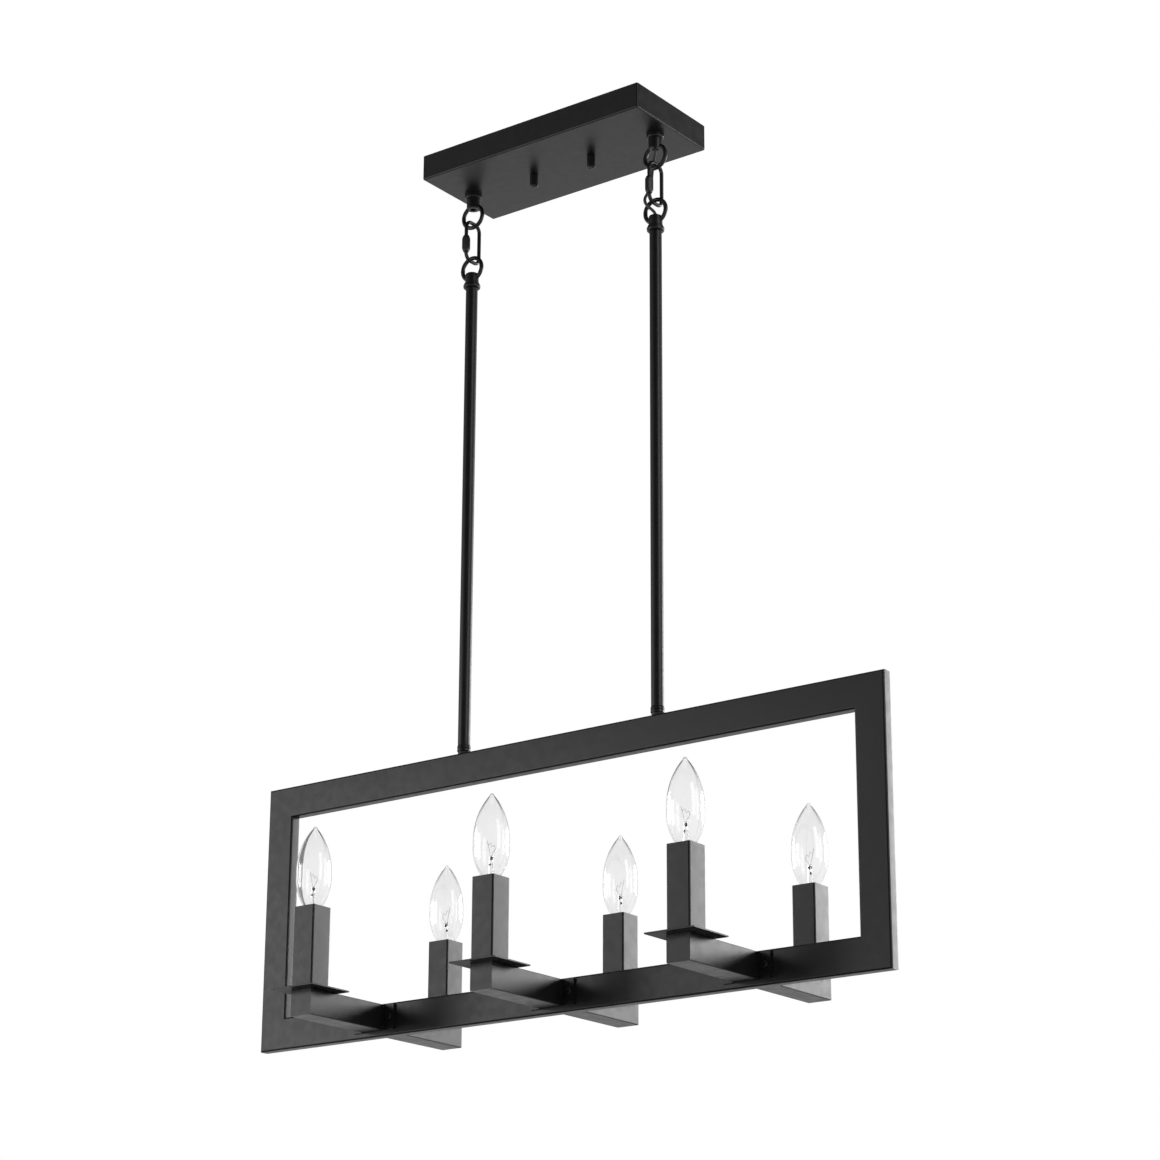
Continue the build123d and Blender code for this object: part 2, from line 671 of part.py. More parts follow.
def inner_harness():
    """The lead inside the right rod, round the frame's tubes and up into each lamp holder."""
    stile_x = (FRAME_LENGTH - RAIL_FACE) / 2
    rail_z = frame_top_z - RAIL_FACE / 2
    trunk = [
        (HANG_X, 0, rod_hub_top_z),
        (HANG_X, 0, rail_z),
        (stile_x, 0, rail_z),
        (stile_x, 0, arm_mid_z),
        (-ARM_SPACING, 0, arm_mid_z),
    ]
    harness = bent_wire(trunk, CORD_DIAMETER)
    for x, row in LIGHTS:
        branch = [
            (x, 0, arm_mid_z),
            (x, row * light_y, arm_mid_z),
            (x, row * light_y, holder_foot_z + STEM_INTO_HOLDER),
        ]
        harness += bent_wire(branch, BRANCH_DIAMETER)
    return harness


# ---- writing the pieces -----------------------------------------------------------------

canopy_nuts = []
for name, side in SIDES.items():
    canopy_nuts += [stud_lock_nut(side), pipe_nut(floor_z + CANOPY_SHEET, side * HANG_X)]
    save([thumb_nut(side)], f"thumb_nut_{name}")
    save([canopy_loop(side)], f"canopy_loop_{name}")
    save([quick_link(side)], f"quick_link_{name}")
    save([link_sleeve(side)], f"link_sleeve_{name}")
    save([rod_loop(side)], f"rod_loop_{name}")
    save([downrod(side)], f"downrod_{name}")
    save([stile(side)], f"frame_stile_{name}")

save([canopy_pan()], "canopy_pan")
save([mounting_bracket()], "mounting_bracket")
save([canopy_stud(side) for side in SIDES.values()], "canopy_studs")
save(canopy_nuts, "canopy_lock_nuts")
save([loop_collar(side) for side in SIDES.values()], "loop_collars")
save([rod_coupling(side) for side in SIDES.values()], "rod_couplings")
save([top_rail()], "frame_top_rail")
save([bottom_rail()], "frame_bottom_rail")

screws = []
stems = []
stem_nuts = []
holders = []
for number, (x, row) in enumerate(LIGHTS, start=1):
    save([on_arm(arm(), x, row)], f"arm_{number}")
    save([on_arm(drip_plate(), x, row)], f"drip_plate_{number}")
    save([on_arm(candle_sleeve(), x, row)], f"candle_sleeve_{number}")
    save([on_arm(piece, x, row) for piece in bulb_glass()], f"bulb_glass_{number}")
    save([on_arm(bulb_base(), x, row)], f"bulb_base_{number}")
    screws += [on_arm(arm_screw(ear), x, row) for ear in (-1, 1)]
    stems.append(on_arm(holder_stem(), x, row))
    stem_nuts += [on_arm(nut, x, row) for nut in holder_nuts()]
    holders.append(on_arm(lamp_holder(), x, row))
save(screws, "arm_screws")
save(stems, "holder_stems")
save(stem_nuts, "holder_nuts")
save(holders, "lamp_holders")

save([supply_cord(CORD_ROUTE_UPPER)], "supply_cord_upper")
save([supply_cord(CORD_ROUTE_LOWER)], "supply_cord_lower")
save([canopy_lead()], "canopy_lead")
save([inner_harness()], "inner_harness")
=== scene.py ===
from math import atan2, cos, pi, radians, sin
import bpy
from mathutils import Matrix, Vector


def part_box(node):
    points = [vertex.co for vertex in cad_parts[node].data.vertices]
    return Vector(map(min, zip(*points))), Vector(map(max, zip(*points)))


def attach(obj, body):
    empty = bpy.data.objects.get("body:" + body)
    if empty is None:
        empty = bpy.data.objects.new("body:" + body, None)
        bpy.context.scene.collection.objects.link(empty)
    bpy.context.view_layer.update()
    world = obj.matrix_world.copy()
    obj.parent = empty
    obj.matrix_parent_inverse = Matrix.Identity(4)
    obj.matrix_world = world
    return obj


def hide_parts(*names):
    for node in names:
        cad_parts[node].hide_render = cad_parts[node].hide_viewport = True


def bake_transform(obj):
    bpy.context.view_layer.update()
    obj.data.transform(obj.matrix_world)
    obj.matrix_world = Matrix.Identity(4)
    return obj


bl_info = {
    "name": "Linear Island Pendant", "version": (1, 0, 0), "blender": (4, 5, 0),
    "location": "3D View > Sidebar > Pendant",
    "description": "Dresses a linear island pendant: coated frame, links, cord and candle bulbs",
    "category": "Add Mesh",
}

import bmesh
import bpy
from bmesh.types import BMEdge, BMVert
from bpy.props import FloatProperty, FloatVectorProperty, IntProperty, PointerProperty
from mathutils import Matrix, Vector

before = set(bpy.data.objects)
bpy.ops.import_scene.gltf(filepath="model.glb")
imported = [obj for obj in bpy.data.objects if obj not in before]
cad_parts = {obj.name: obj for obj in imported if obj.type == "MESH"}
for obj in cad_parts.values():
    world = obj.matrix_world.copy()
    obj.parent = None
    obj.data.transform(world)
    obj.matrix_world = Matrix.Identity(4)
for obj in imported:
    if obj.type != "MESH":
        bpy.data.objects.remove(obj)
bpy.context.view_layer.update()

# ---- sizes ------------------------------------------------------------------------------

MM = 0.001
WELD = 0.5e-6
SPIN_STEPS = 64
WIRE_STEPS = 28
SMOOTH_ANGLE = radians(42)
BEND_STEPS = 10
CUT_EDGE = 0.35 * MM
ALONG = 0.999
SEAT_GAP = 0.3 * MM
HOLE_CLEARANCE = 0.6 * MM
THREAD_CLEARANCE = 0.12 * MM
SPIGOT_CLEARANCE = 0.06 * MM

SIDES = {"left": -1, "right": 1}
LIGHT_NUMBERS = range(1, 7)

CANOPY_SHEET = 1.2 * MM
CANOPY_FOLD = 1.6 * MM
BRACKET_BAR = 22.0 * MM
BRACKET_CORNER = 3.0 * MM
BOX_SCREW_SPACING = 88.9 * MM
BOX_SLOT_WIDTH = 5.0 * MM
BOX_SLOT_LENGTH = 12.0 * MM
STUD_X = 38.0 * MM
STUD_DIAMETER = 4.2 * MM
STUD_BORE = STUD_DIAMETER + THREAD_CLEARANCE
STUD_PITCH = 0.7 * MM
STUD_THREAD_DEPTH = 0.4 * MM
STUD_NUT_FLATS = 7.0 * MM
STUD_NUT_HEIGHT = 3.2 * MM
THUMB_NUT_SLOT = 1.2 * MM
THUMB_NUT_SLOT_DEPTH = 1.8 * MM
THUMB_NUT_CHAMFER = 1.0 * MM
THUMB_NUT_BORE_DEPTH = 11.0 * MM
NUT_TAPER = 0.6
NUT_END = 0.97
# one tooth of a thread: whether a corner lies on the crest, and its share of the pitch
THREAD_TOOTH = ((False, 0.0), (False, 0.12), (True, 0.45), (True, 0.67), (False, 1.0))

RING_OUTER = 30.0 * MM
RING_WIRE = 4.5 * MM
HUB_DIAMETER = 14.2 * MM
HUB_INTO_RING = 2.0 * MM
COLLAR_DIAMETER = 18.4 * MM
COLLAR_ROUNDING = 1.6 * MM
COLLAR_CLEARANCE = 0.15 * MM
PIPE_THREAD = 9.6 * MM
PIPE_HOLE = PIPE_THREAD + HOLE_CLEARANCE
PIPE_PITCH = 1.0 * MM
PIPE_THREAD_DEPTH = 0.55 * MM
PIPE_NUT_FLATS = 14.0 * MM
PIPE_NUT_HEIGHT = 3.5 * MM
WIRE_BORE = 6.4 * MM

LINK_WIRE = 4.0 * MM
LINK_CORNER = 8.0 * MM
LINK_MOUTH = 4.0 * MM
LINK_MOUTH_ABOVE_BEND = 3.5 * MM
SLEEVE_NUT_FLATS = 8.2 * MM
SLEEVE_NUT_TAPER = 4.0 * MM

ROD_WALL = 1.2 * MM
ROD_HUB_DIAMETER = 14.4 * MM
ROD_HUB_INTO_RING = 5.0 * MM
ROD_HUB_DOME = 2.0 * MM
BEAD_DIAMETER = 18.3 * MM
BEAD_HEIGHT = 4.3 * MM
UPPER_BEAD_DIAMETER = 16.6 * MM
UPPER_BEAD_HEIGHT = 2.2 * MM
SPIGOT_LENGTH = 10.0 * MM
COUPLING_DIAMETER = 13.7 * MM
COUPLING_COLLAR = 3.0 * MM
COUPLING_RING = 2.6 * MM
COUPLING_GROOVE = 0.7 * MM
COUPLING_THREAD = 8.0 * MM
COUPLING_THREAD_LENGTH = 7.0 * MM
COUPLING_BORE = 5.4 * MM
WELD_NUT_LENGTH = 14.0 * MM
WELD_NUT_HEIGHT = 5.0 * MM
WELD_NUT_CLEARANCE = 0.3 * MM

RAIL_WALL = 1.5 * MM
RAIL_EDGE = 2.0 * MM
ARM_WIDTH = 26.0 * MM
ARM_WALL = 1.2 * MM
ARM_EDGE = 1.6 * MM
FLANGE_SHEET = 2.5 * MM
FLANGE_BORE = 10.0 * MM
SHOULDER_LENGTH = 1.5 * MM
SHOULDER_PROUD = 1.8 * MM
EAR_SCREW_X = 20.9 * MM
SCREW_SHANK = 4.0 * MM
SCREW_LENGTH = 3.2 * MM
SCREW_HEAD = 7.2 * MM
SCREW_HEAD_HEIGHT = 2.2 * MM
SCREW_HEAD_ROUNDING = 0.62
SCREW_RECESS_LENGTH = 3.4 * MM
SCREW_RECESS_WIDTH = 0.6 * MM
SCREW_RECESS_DEPTH = 0.8 * MM
# how far each screw is turned, in degrees: by its arm's number, and by its place in metres
SCREW_TURN = 23
EAR_TURN = 1500

SLEEVE_WALL = 1.0 * MM
SLEEVE_EDGE = 1.7 * MM
STEM_INTO_HOLDER = 5.0 * MM
HOLDER_STEP = 1.6 * MM
HOLDER_RIM_HEIGHT = 2.0 * MM
BASE_SHELL = 11.6 * MM
BASE_PITCH = 2.5 * MM
BASE_THREAD_DEPTH = 0.7 * MM
BASE_SHELL_LENGTH = 13.6 * MM
BASE_CONTACT = 5.0 * MM
SOCKET_BORE = 12.4 * MM
BULB_NECK = 14.0 * MM
BULB_WIDEST_BELOW_TIP = 50.0 * MM
BULB_TIP_RADIUS = 2.2 * MM
GLASS_STEM = 4.4 * MM
GLASS_STEM_HEIGHT = 24.0 * MM
GLASS_STEM_FLARE = 3.0 * MM
FILAMENT_FOOT = 27.5 * MM
FILAMENT_TOP = 36.5 * MM
FILAMENT_WIDTH = 10.8 * MM


def lowest(node):
    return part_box(node)[0]


def highest(node):
    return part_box(node)[1]


def middle(node):
    return (lowest(node) + highest(node)) / 2


# ---- places, read from the construction model -------------------------------------------

hang_x = middle("downrod_right").x
canopy_floor = lowest("canopy_pan").z
collar_foot = lowest("loop_collars").z
upper_ring_z = lowest("canopy_loop_right").z + RING_OUTER / 2
hub_foot = upper_ring_z + RING_OUTER / 2 - RING_WIRE - HUB_INTO_RING
lower_ring_z = highest("rod_loop_right").z - RING_OUTER / 2
rod_hub_top = lower_ring_z - RING_OUTER / 2 + RING_WIRE + ROD_HUB_INTO_RING
rod_top = highest("downrod_right").z
rod_foot = lowest("downrod_right").z
rod_radius = (highest("downrod_right").x - lowest("downrod_right").x) / 2
frame_top = highest("frame_top_rail").z
rail_depth = 2 * highest("frame_top_rail").y
rail_face = highest("frame_stile_right").x - lowest("frame_stile_right").x
frame_half = highest("frame_stile_right").x
light_y = middle("candle_sleeve_5").y
arm_xs = [middle(f"candle_sleeve_{number}").x for number in (1, 2, 3)]
sleeve_top = highest("candle_sleeve_5").z
holder_top = highest("lamp_holders").z
holder_foot = lowest("lamp_holders").z
neck_z = lowest("bulb_glass_5").z
tip_z = highest("bulb_glass_5").z
contact_z = lowest("bulb_base_5").z
shell_foot = neck_z - BASE_SHELL_LENGTH
bulb_radius = (highest("bulb_glass_5").x - lowest("bulb_glass_5").x) / 2

# The supply cord's open stretch: offsets in millimetres from the right
# hanging point's axis and from the canopy's underside.
CORD_ROUTE_UPPER = [
    (0.0, 0.0, -17.5), (0.0, 0.0, -20.0), (-1.9, 1.5, -24.0), (-5.9, 4.6, -29.4),
    (-8.9, 7.2, -37.0), (-9.4, 6.7, -45.6), (-9.2, 4.5, -53.0), (-9.2, 1.7, -60.0),
]
CORD_ROUTE_LOWER = [
    (-9.2, 1.7, -60.0), (-9.4, -0.5, -64.9), (-9.9, -4.4, -71.0), (-8.8, -7.0, -77.0),
    (-6.0, -6.6, -82.6), (-2.4, -3.2, -86.4), (0.0, 0.0, -90.4), (0.0, 0.0, -93.4),
]
CORD_DIAMETER = 3.2 * MM
# painted highlight along the supply cord: where it starts across the cord, and how soft its edge is
PAINTED_HIGHLIGHT_EDGE = 0.60
PAINTED_HIGHLIGHT_SOFTNESS = 0.15

# the photograph's camera, fitted to the corners of the frame
CAMERA_PLACE = (1.7512, -2.2974, -1.4671)
CAMERA_YAW = 36.905
CAMERA_PITCH = 18.643
CAMERA_ROLL = 0.264
CAMERA_LENS = 93.42
CAMERA_SENSOR = 36.0

# how far the coat's roughness drifts either way, and what changes on its edges and under dust
HAZE = 0.03
EDGE_GLOSS = 0.18
# painted shade: how strongly the coat's colour is darkened along outside edges, and the dark it goes to
EDGE_PAINTED_SHADE = 0.6
EDGE_PAINTED_SHADE_COLOR = (0.002, 0.002, 0.002)
DUST_COLOR = (0.30, 0.29, 0.27)

# the bulb's glass: its colour face on, its painted shade at its rim and at the rim of its crown,
# and how far below the tip the crown's painted shade starts and is at its darkest
GLASS_FACE = (0.935, 0.935, 0.935)
GLASS_RIM_SHADE = (0.80, 0.805, 0.81)
GLASS_CROWN_SHADE = (0.05, 0.05, 0.052)
CROWN_SHADE_START = 24 * MM
CROWN_SHADE_FULL = 8 * MM

# what the coat mirrors of the studio: light that fades with height, and an unlit side by the camera
MIRRORED_HEIGHTS = (0.16, 0.46)
MIRRORED_LIGHT = (0.80, 0.10)
DARK_SIDE = (0.42, -0.9075, 0.0)
DARK_SIDE_EDGE = (0.60, 0.90)
DARK_SIDE_LIGHT = 0.12

# the floor, as distances in metres from the pendant's axis
WHITE = (1.0, 1.0, 1.0)
FLOOR_RADIUS = 14.0
FADE_TO_WHITE = (0.9, 3.2)
MIRRORED_WHITE = (3.9, 4.9)
MIRRORED_DIM = (0.9, 2.0)
DIM_LIGHT = 0.04

# each lamp's name, place, aim, width, height and radiance
FRAME_MIDDLE = (0.0, 0.0, -0.75)
ROD_MIDDLE = (0.0, 0.0, -0.45)
LAMPS = (
    ("front_left_panel", (-2.894, -2.747, -0.471), FRAME_MIDDLE, 1.9, 1.9, 2.1),
    ("back_right_panel", (1.877, 5.02, 0.487), FRAME_MIDDLE, 3.4, 1.6, 8.7),
    ("overhead_panel", (0.0, 0.056, 2.45), FRAME_MIDDLE, 2.4, 2.4, 0.6),
    ("right_panel", (3.41, -0.30, 0.662), ROD_MIDDLE, 1.4, 2.4, 1.9),
)


# ---- settings a user would change -------------------------------------------------------


def color_setting(name, description, default):
    return FloatVectorProperty(
        name=name, description=description, default=default, size=3, min=0.0, max=1.0, subtype="COLOR"
    )


def length_setting(name, description, default, least=-100.0):
    return FloatProperty(name=name, description=description, default=default, min=least, unit="LENGTH")


class PENDANT_PG_coat(bpy.types.PropertyGroup):
    """The satin powder coat on the metal parts."""

    color: color_setting("Coat colour", "Colour of the powder coat", (0.005, 0.005, 0.0053))
    roughness: FloatProperty(
        name="Roughness", description="How matt the powder coat is", default=0.35, min=0.0, max=1.0,
        subtype="FACTOR",
    )
    peel_size: length_setting(
        "Peel size", "Width of the soft waves in the powder coat", 1.6 * MM, 0.2 * MM,
    )
    grain_size: length_setting(
        "Grain size", "Width of the fine grain in the powder coat", 0.35 * MM, 0.05 * MM,
    )


class PENDANT_PG_bulb(bpy.types.PropertyGroup):
    """The clear candelabra bulbs."""

    wall: length_setting("Glass wall", "Thickness of the bulb's glass", 0.8 * MM, 0.3 * MM)
    filament_zigzags: IntProperty(
        name="Filament zigzags", description="How many times the filament runs up or down",
        default=5, min=2,
    )
    filament_wire: length_setting(
        "Filament wire", "Thickness of the coiled filament", 0.36 * MM, 0.05 * MM,
    )
    metal_color: color_setting("Base metal", "Colour of the bulb's screw shell", (0.72, 0.66, 0.50))


class PENDANT_PG_cord(bpy.types.PropertyGroup):
    """The supply cord beside the right-hand link."""

    jacket_color: color_setting("Jacket colour", "Colour of the supply cord", (0.030, 0.027, 0.029))
    # painted highlight: colour of the pale line along the supply cord
    stripe_color: color_setting(
        "Stripe colour", "Colour of the pale stripe along the supply cord", (0.92, 0.76, 0.77),
    )


class PENDANT_PG_studio(bpy.types.PropertyGroup):
    """Floor, background and lamps."""

    floor_level: length_setting("Floor level", "Height of the studio floor below the ceiling", -1.78)
    floor_color: color_setting("Floor colour", "Colour of the studio floor", (0.80, 0.80, 0.80))
    ambient: FloatProperty(
        name="Ambient light", description="Strength of the soft light from all round", default=0.42,
        min=0.0,
    )


# ---- forms ------------------------------------------------------------------------------


def placed(name, data):
    """A new object in the scene."""
    made = bpy.data.objects.new(name, data)
    bpy.context.scene.collection.objects.link(made)
    return made


def mesh_of(bm, name="form"):
    """The mesh of a form, which is used up."""
    mesh = bpy.data.meshes.new(name)
    bm.to_mesh(mesh)
    bm.free()
    return mesh


def moved(bm, vec, matrix=None):
    """A form turned about the origin, and then moved."""
    if matrix:
        bmesh.ops.rotate(bm, verts=bm.verts, cent=(0, 0, 0), matrix=matrix)
    bmesh.ops.translate(bm, verts=bm.verts, vec=vec)
    return bm


def oriented(bm, x=0.0, y=0.0):
    """Merges doubles, turns the faces outwards and takes the form to its place."""
    bmesh.ops.remove_doubles(bm, verts=bm.verts, dist=WELD)
    bmesh.ops.recalc_face_normals(bm, faces=bm.faces)
    return moved(bm, (x, y, 0))


def only(kind, parts):
    """The vertices or the edges among the parts that an operator gives back."""
    return [part for part in parts if isinstance(part, kind)]


def spun(bm, geom, steps, **settings):
    """Spins a line once round the Z axis, or as the settings say."""
    whole = {"cent": (0, 0, 0), "axis": (0, 0, 1), "angle": 2 * pi}
    return bmesh.ops.spin(bm, geom=geom, steps=steps, **{**whole, **settings})


def round_edges(bm, radius, pick, segments=4):
    """Rounds the edges that the pick function chooses."""
    bmesh.ops.bevel(
        bm, geom=[edge for edge in bm.edges if pick(edge)], offset=radius, offset_type="OFFSET",
        segments=segments, profile=0.5, affect="EDGES", clamp_overlap=True, material=-1,
    )
    return bm


def runs_along(edge, axis):
    """True where an edge runs along X, Y or Z, numbered 0 to 2."""
    step = edge.verts[1].co - edge.verts[0].co
    return abs(step[axis]) > ALONG * step.length


def outer_corner(edge):
    """True at a sharp outside edge."""
    return len(edge.link_faces) == 2 and edge.calc_face_angle_signed(0.0) > SMOOTH_ANGLE


def soften(bm, radius=CUT_EDGE, segments=2):
    """Takes the sharpness off every outside edge, as a coat of powder does."""
    return round_edges(bm, radius, outer_corner, segments)


def block(low, high):
    """A box between two corners."""
    low, high = Vector(low), Vector(high)
    bm = bmesh.new()
    bmesh.ops.create_cube(bm, size=1.0)
    bmesh.ops.scale(bm, verts=bm.verts, vec=high - low)
    return moved(bm, (low + high) / 2)


def combined(base, tool, operation):
    """One form joined with, cut by or limited to another: UNION, DIFFERENCE or INTERSECT."""
    helpers = [placed("form", mesh_of(bm)) for bm in (base, tool)]
    modifier = helpers[0].modifiers.new("form", "BOOLEAN")
    modifier.operation = operation
    modifier.solver = "EXACT"
    modifier.object = helpers[1]
    result = bmesh.new()
    result.from_object(helpers[0], bpy.context.evaluated_depsgraph_get())
    for helper in helpers:
        mesh = helper.data
        bpy.data.objects.remove(helper)
        bpy.data.meshes.remove(mesh)
    bmesh.ops.remove_doubles(result, verts=result.verts, dist=WELD)
    return result


def cut(form, tool):
    return combined(form, tool, "DIFFERENCE")


def lathe(outline, x=0.0, y=0.0, steps=SPIN_STEPS):
    """Spins an outline of radius, height and, where a corner is rounded, its rounding.

    An outline that starts on the axis ends on it. Any other is closed, as a pipe's is."""
    bm = bmesh.new()
    chain = [bm.verts.new((corner[0], 0, corner[1])) for corner in outline]
    pairs = list(zip(chain, chain[1:]))
    if outline[0][0] > 0:
        pairs.append((chain[-1], chain[0]))
    edges = [bm.edges.new(pair) for pair in pairs]
    spun(bm, chain + edges, steps, use_merge=True)
    oriented(bm)
    for radius, z, rounding in (corner for corner in outline if len(corner) == 3):
        def on_ring(edge):
            return all(
                abs(vert.co.z - z) < WELD and abs(vert.co.xy.length - radius) < WELD
                for vert in edge.verts
            )

        round_edges(bm, rounding, on_ring)
    return oriented(bm, x, y)


def post(diameter, z_low, z_high, x=0.0, y=0.0, steps=SPIN_STEPS):
    """An upright round bar."""
    radius = diameter / 2
    return lathe([(0, z_low), (radius, z_low), (radius, z_high), (0, z_high)], x, y, steps)


def drilled(form, diameter, z_low, z_high, x=0.0, y=0.0):
    """A form with an upright round hole through it."""
    return cut(form, post(diameter, z_low, z_high, x, y))


def laid_along_y(bm, x, y, z):
    """Turns an upright form so that its top points along +Y, and takes its foot to a place."""
    return moved(bm, (x, y, z), Matrix.Rotation(-pi / 2, 3, "X"))


def threaded_bar(diameter, pitch, depth, z_low, z_high, x=0.0, y=0.0, steps=24):
    """One tooth's outline turned and raised along a helix, then cut square at both ends."""
    bm = bmesh.new()
    crest = diameter / 2
    root = crest - depth
    start = z_low - 2 * pitch
    turns = int((z_high - z_low) / pitch) + 4
    tooth = [(crest if full else root, share) for full, share in THREAD_TOOTH]
    chain = [bm.verts.new((radius, 0, start + share * pitch)) for radius, share in tooth]
    edges = [bm.edges.new(pair) for pair in zip(chain, chain[1:])]
    spun(bm, chain + edges, steps * turns, dvec=(0, 0, pitch / steps), angle=2 * pi * turns)
    bmesh.ops.remove_doubles(bm, verts=bm.verts, dist=10 * WELD)
    for z, way in ((z_low, -1), (z_high, 1)):
        ends = bmesh.ops.bisect_plane(
            bm, geom=bm.verts[:] + bm.edges[:] + bm.faces[:], plane_co=(0, 0, z),
            plane_no=(0, 0, way), clear_outer=True,
        )
        bmesh.ops.edgeloop_fill(bm, edges=only(BMEdge, ends["geom_cut"]))
    return oriented(bm, x, y)


def hex_nut(flats, bore, z_low, z_high, x=0.0, y=0.0, taper=None, end=None):
    """A hexagonal nut with ends turned down to a radius, a plain nut's to just inside its flats."""
    corner = flats / 2 / cos(pi / 6)
    taper = taper or NUT_TAPER * (corner - flats / 2)
    end = end or NUT_END * flats / 2
    nut = post(2 * corner, z_low, z_high, x, y, steps=6)
    turned = [
        (0, z_low), (end, z_low), (corner + WELD, z_low + taper), (corner + WELD, z_high - taper),
        (end, z_high), (0, z_high),
    ]
    nut = combined(nut, lathe(turned, x, y), "INTERSECT")
    return drilled(nut, bore, z_low - MM, z_high + MM, x, y)


def wire_ring(x, z):
    """A wire ring standing upright, its hole facing across the frame."""
    bm = bmesh.new()
    bmesh.ops.create_circle(bm, cap_ends=False, segments=WIRE_STEPS, radius=RING_WIRE / 2)
    moved(bm, ((RING_OUTER - RING_WIRE) / 2, 0, 0))
    spun(bm, bm.verts[:] + bm.edges[:], SPIN_STEPS, axis=(0, 1, 0), use_merge=True)
    return moved(oriented(bm), (x, 0, z))


def bent_bar(start, heading, diameter, bend_radius, runs):
    """Round bar in the plane across X: straight runs, with a quarter turn between two."""
    bm = bmesh.new()
    bmesh.ops.create_circle(bm, cap_ends=True, segments=WIRE_STEPS, radius=diameter / 2)
    place = Vector(start)
    heading = Vector(heading)
    bmesh.ops.translate(bm, verts=bm.verts, vec=place)
    front = bm.edges[:]
    quarter = Matrix.Rotation(pi / 2, 3, "X")
    for number, run in enumerate(runs):
        grown = bmesh.ops.extrude_edge_only(bm, edges=front)["geom"]
        verts = only(BMVert, grown)
        bmesh.ops.translate(bm, verts=verts, vec=run * heading)
        place = place + run * heading
        front = [edge for edge in only(BMEdge, grown) if all(vert in verts for vert in edge.verts)]
        if number == len(runs) - 1:
            break
        turned = quarter @ heading
        centre = place + bend_radius * turned
        bend = spun(bm, verts + front, BEND_STEPS, cent=centre, axis=(1, 0, 0), angle=pi / 2)
        front = only(BMEdge, bend["geom_last"])
        place = place + bend_radius * (heading + turned)
        heading = turned
    bmesh.ops.edgeloop_fill(bm, edges=front)
    return oriented(bm)


def mirrored_to(bm, x, row):
    """Takes a form made at X = 0 on the +Y side to its own arm; the first one stays as it is."""
    return moved(bm.copy(), (x, 0, 0), Matrix.Rotation(0 if row > 0 else pi, 3, "Z"))


def at_light(bm, number):
    """A form made at X = 0 on the +Y side, taken to one of the six lights."""
    place = middle(f"candle_sleeve_{number}")
    return mirrored_to(bm, place.x, 1 if place.y > 0 else -1)


def gathered(forms):
    """Several separate forms as one mesh."""
    together = bmesh.new()
    for bm in forms:
        mesh = mesh_of(bm)
        together.from_mesh(mesh)
        bpy.data.meshes.remove(mesh)
    return together


# ---- from a form to a piece of the pendant ----------------------------------------------


def dressed(mesh, name, body, material, nodes=()):
    """A finished mesh as a piece that rides on its body and stands for its nodes."""
    mesh.materials.append(bpy.data.materials[material])
    piece = placed(name, mesh)
    if body:
        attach(piece, body)
    if nodes:
        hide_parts(*nodes)
    return piece


def formed(bm, name, body, material, nodes=(), flats=True):
    """A form as a piece with smooth curves, crisp edges and flat flats."""
    mesh = mesh_of(bm, name)
    mesh.shade_smooth()
    mesh.set_sharp_from_angle(angle=SMOOTH_ANGLE)
    piece = dressed(mesh, name, body, material, nodes)
    if flats:
        modifier = piece.modifiers.new("flat_faces", "WEIGHTED_NORMAL")
        modifier.keep_sharp = True
    return piece


def coated(bm, node, body):
    """A black powder-coated piece in place of its node."""
    return formed(bm, f"{node}_coated", body, "satin_black_coat", [node])


def repainted(node, material):
    """Gives its material to a piece that is shown as the construction model has it."""
    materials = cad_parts[node].data.materials
    materials.clear()
    materials.append(bpy.data.materials[material])


def curve_line(points, kind="NURBS", steps=24):
    """A curve with the given points; a cord's are the control points of a NURBS spline."""
    data = bpy.data.curves.new("line", "CURVE")
    data.dimensions = "3D"
    data.resolution_u = steps
    spline = data.splines.new(kind)
    spline.points.add(len(points) - 1)
    for place, point in zip(spline.points, points):
        place.co = (*point, 1.0)
    if kind == "NURBS":
        spline.order_u = 3
        spline.use_endpoint_u = True
    return data


def curve_mesh(data, diameter=0.0):
    """The curve as a mesh: its own line, or a round tube along it."""
    data.bevel_depth = diameter / 2
    data.bevel_resolution = 6
    data.use_fill_caps = diameter > 0
    helper = placed("line", data)
    depsgraph = bpy.context.evaluated_depsgraph_get()
    mesh = bpy.data.meshes.new_from_object(helper.evaluated_get(depsgraph))
    bpy.data.objects.remove(helper)
    return mesh


# ---- materials --------------------------------------------------------------------------


def feed(tree, inputs, values):
    """Sets each input to its value, or links it where that is a socket."""
    for key, value in values.items():
        if isinstance(value, bpy.types.NodeSocket):
            tree.links.new(value, inputs[key])
        else:
            inputs[key].default_value = value


def add(tree, kind, values=None, **settings):
    """A node with its settings and its inputs' values."""
    node = tree.nodes.new(kind)
    for name, value in settings.items():
        setattr(node, name, value)
    feed(tree, node.inputs, values or {})
    return node


def math(tree, operation, first, second, clamp=False):
    node = add(tree, "ShaderNodeMath", {0: first, 1: second}, operation=operation, use_clamp=clamp)
    return node.outputs[0]


def ranged(tree, value, low, high, to_low=0.0, to_high=1.0):
    """A value stretched from one range to another, and kept inside it."""
    inputs = {"Value": value, "From Min": low, "From Max": high, "To Min": to_low, "To Max": to_high}
    return add(tree, "ShaderNodeMapRange", inputs).outputs["Result"]


def spread(tree, share, low, high):
    """A value between two others, by a share."""
    return ranged(tree, share, 0.0, 1.0, low, high)


def opaque(color):
    return (*color[:3], 1.0)


def dimmed(color, share):
    return [share * channel for channel in color]


def mixed(tree, factor, first, second):
    """Two colours mixed by a factor."""
    colors = {6: first, 7: second}
    for key, color in colors.items():
        if not isinstance(color, bpy.types.NodeSocket):
            colors[key] = opaque(color)
    return add(tree, "ShaderNodeMix", {0: factor, **colors}, data_type="RGBA").outputs[2]


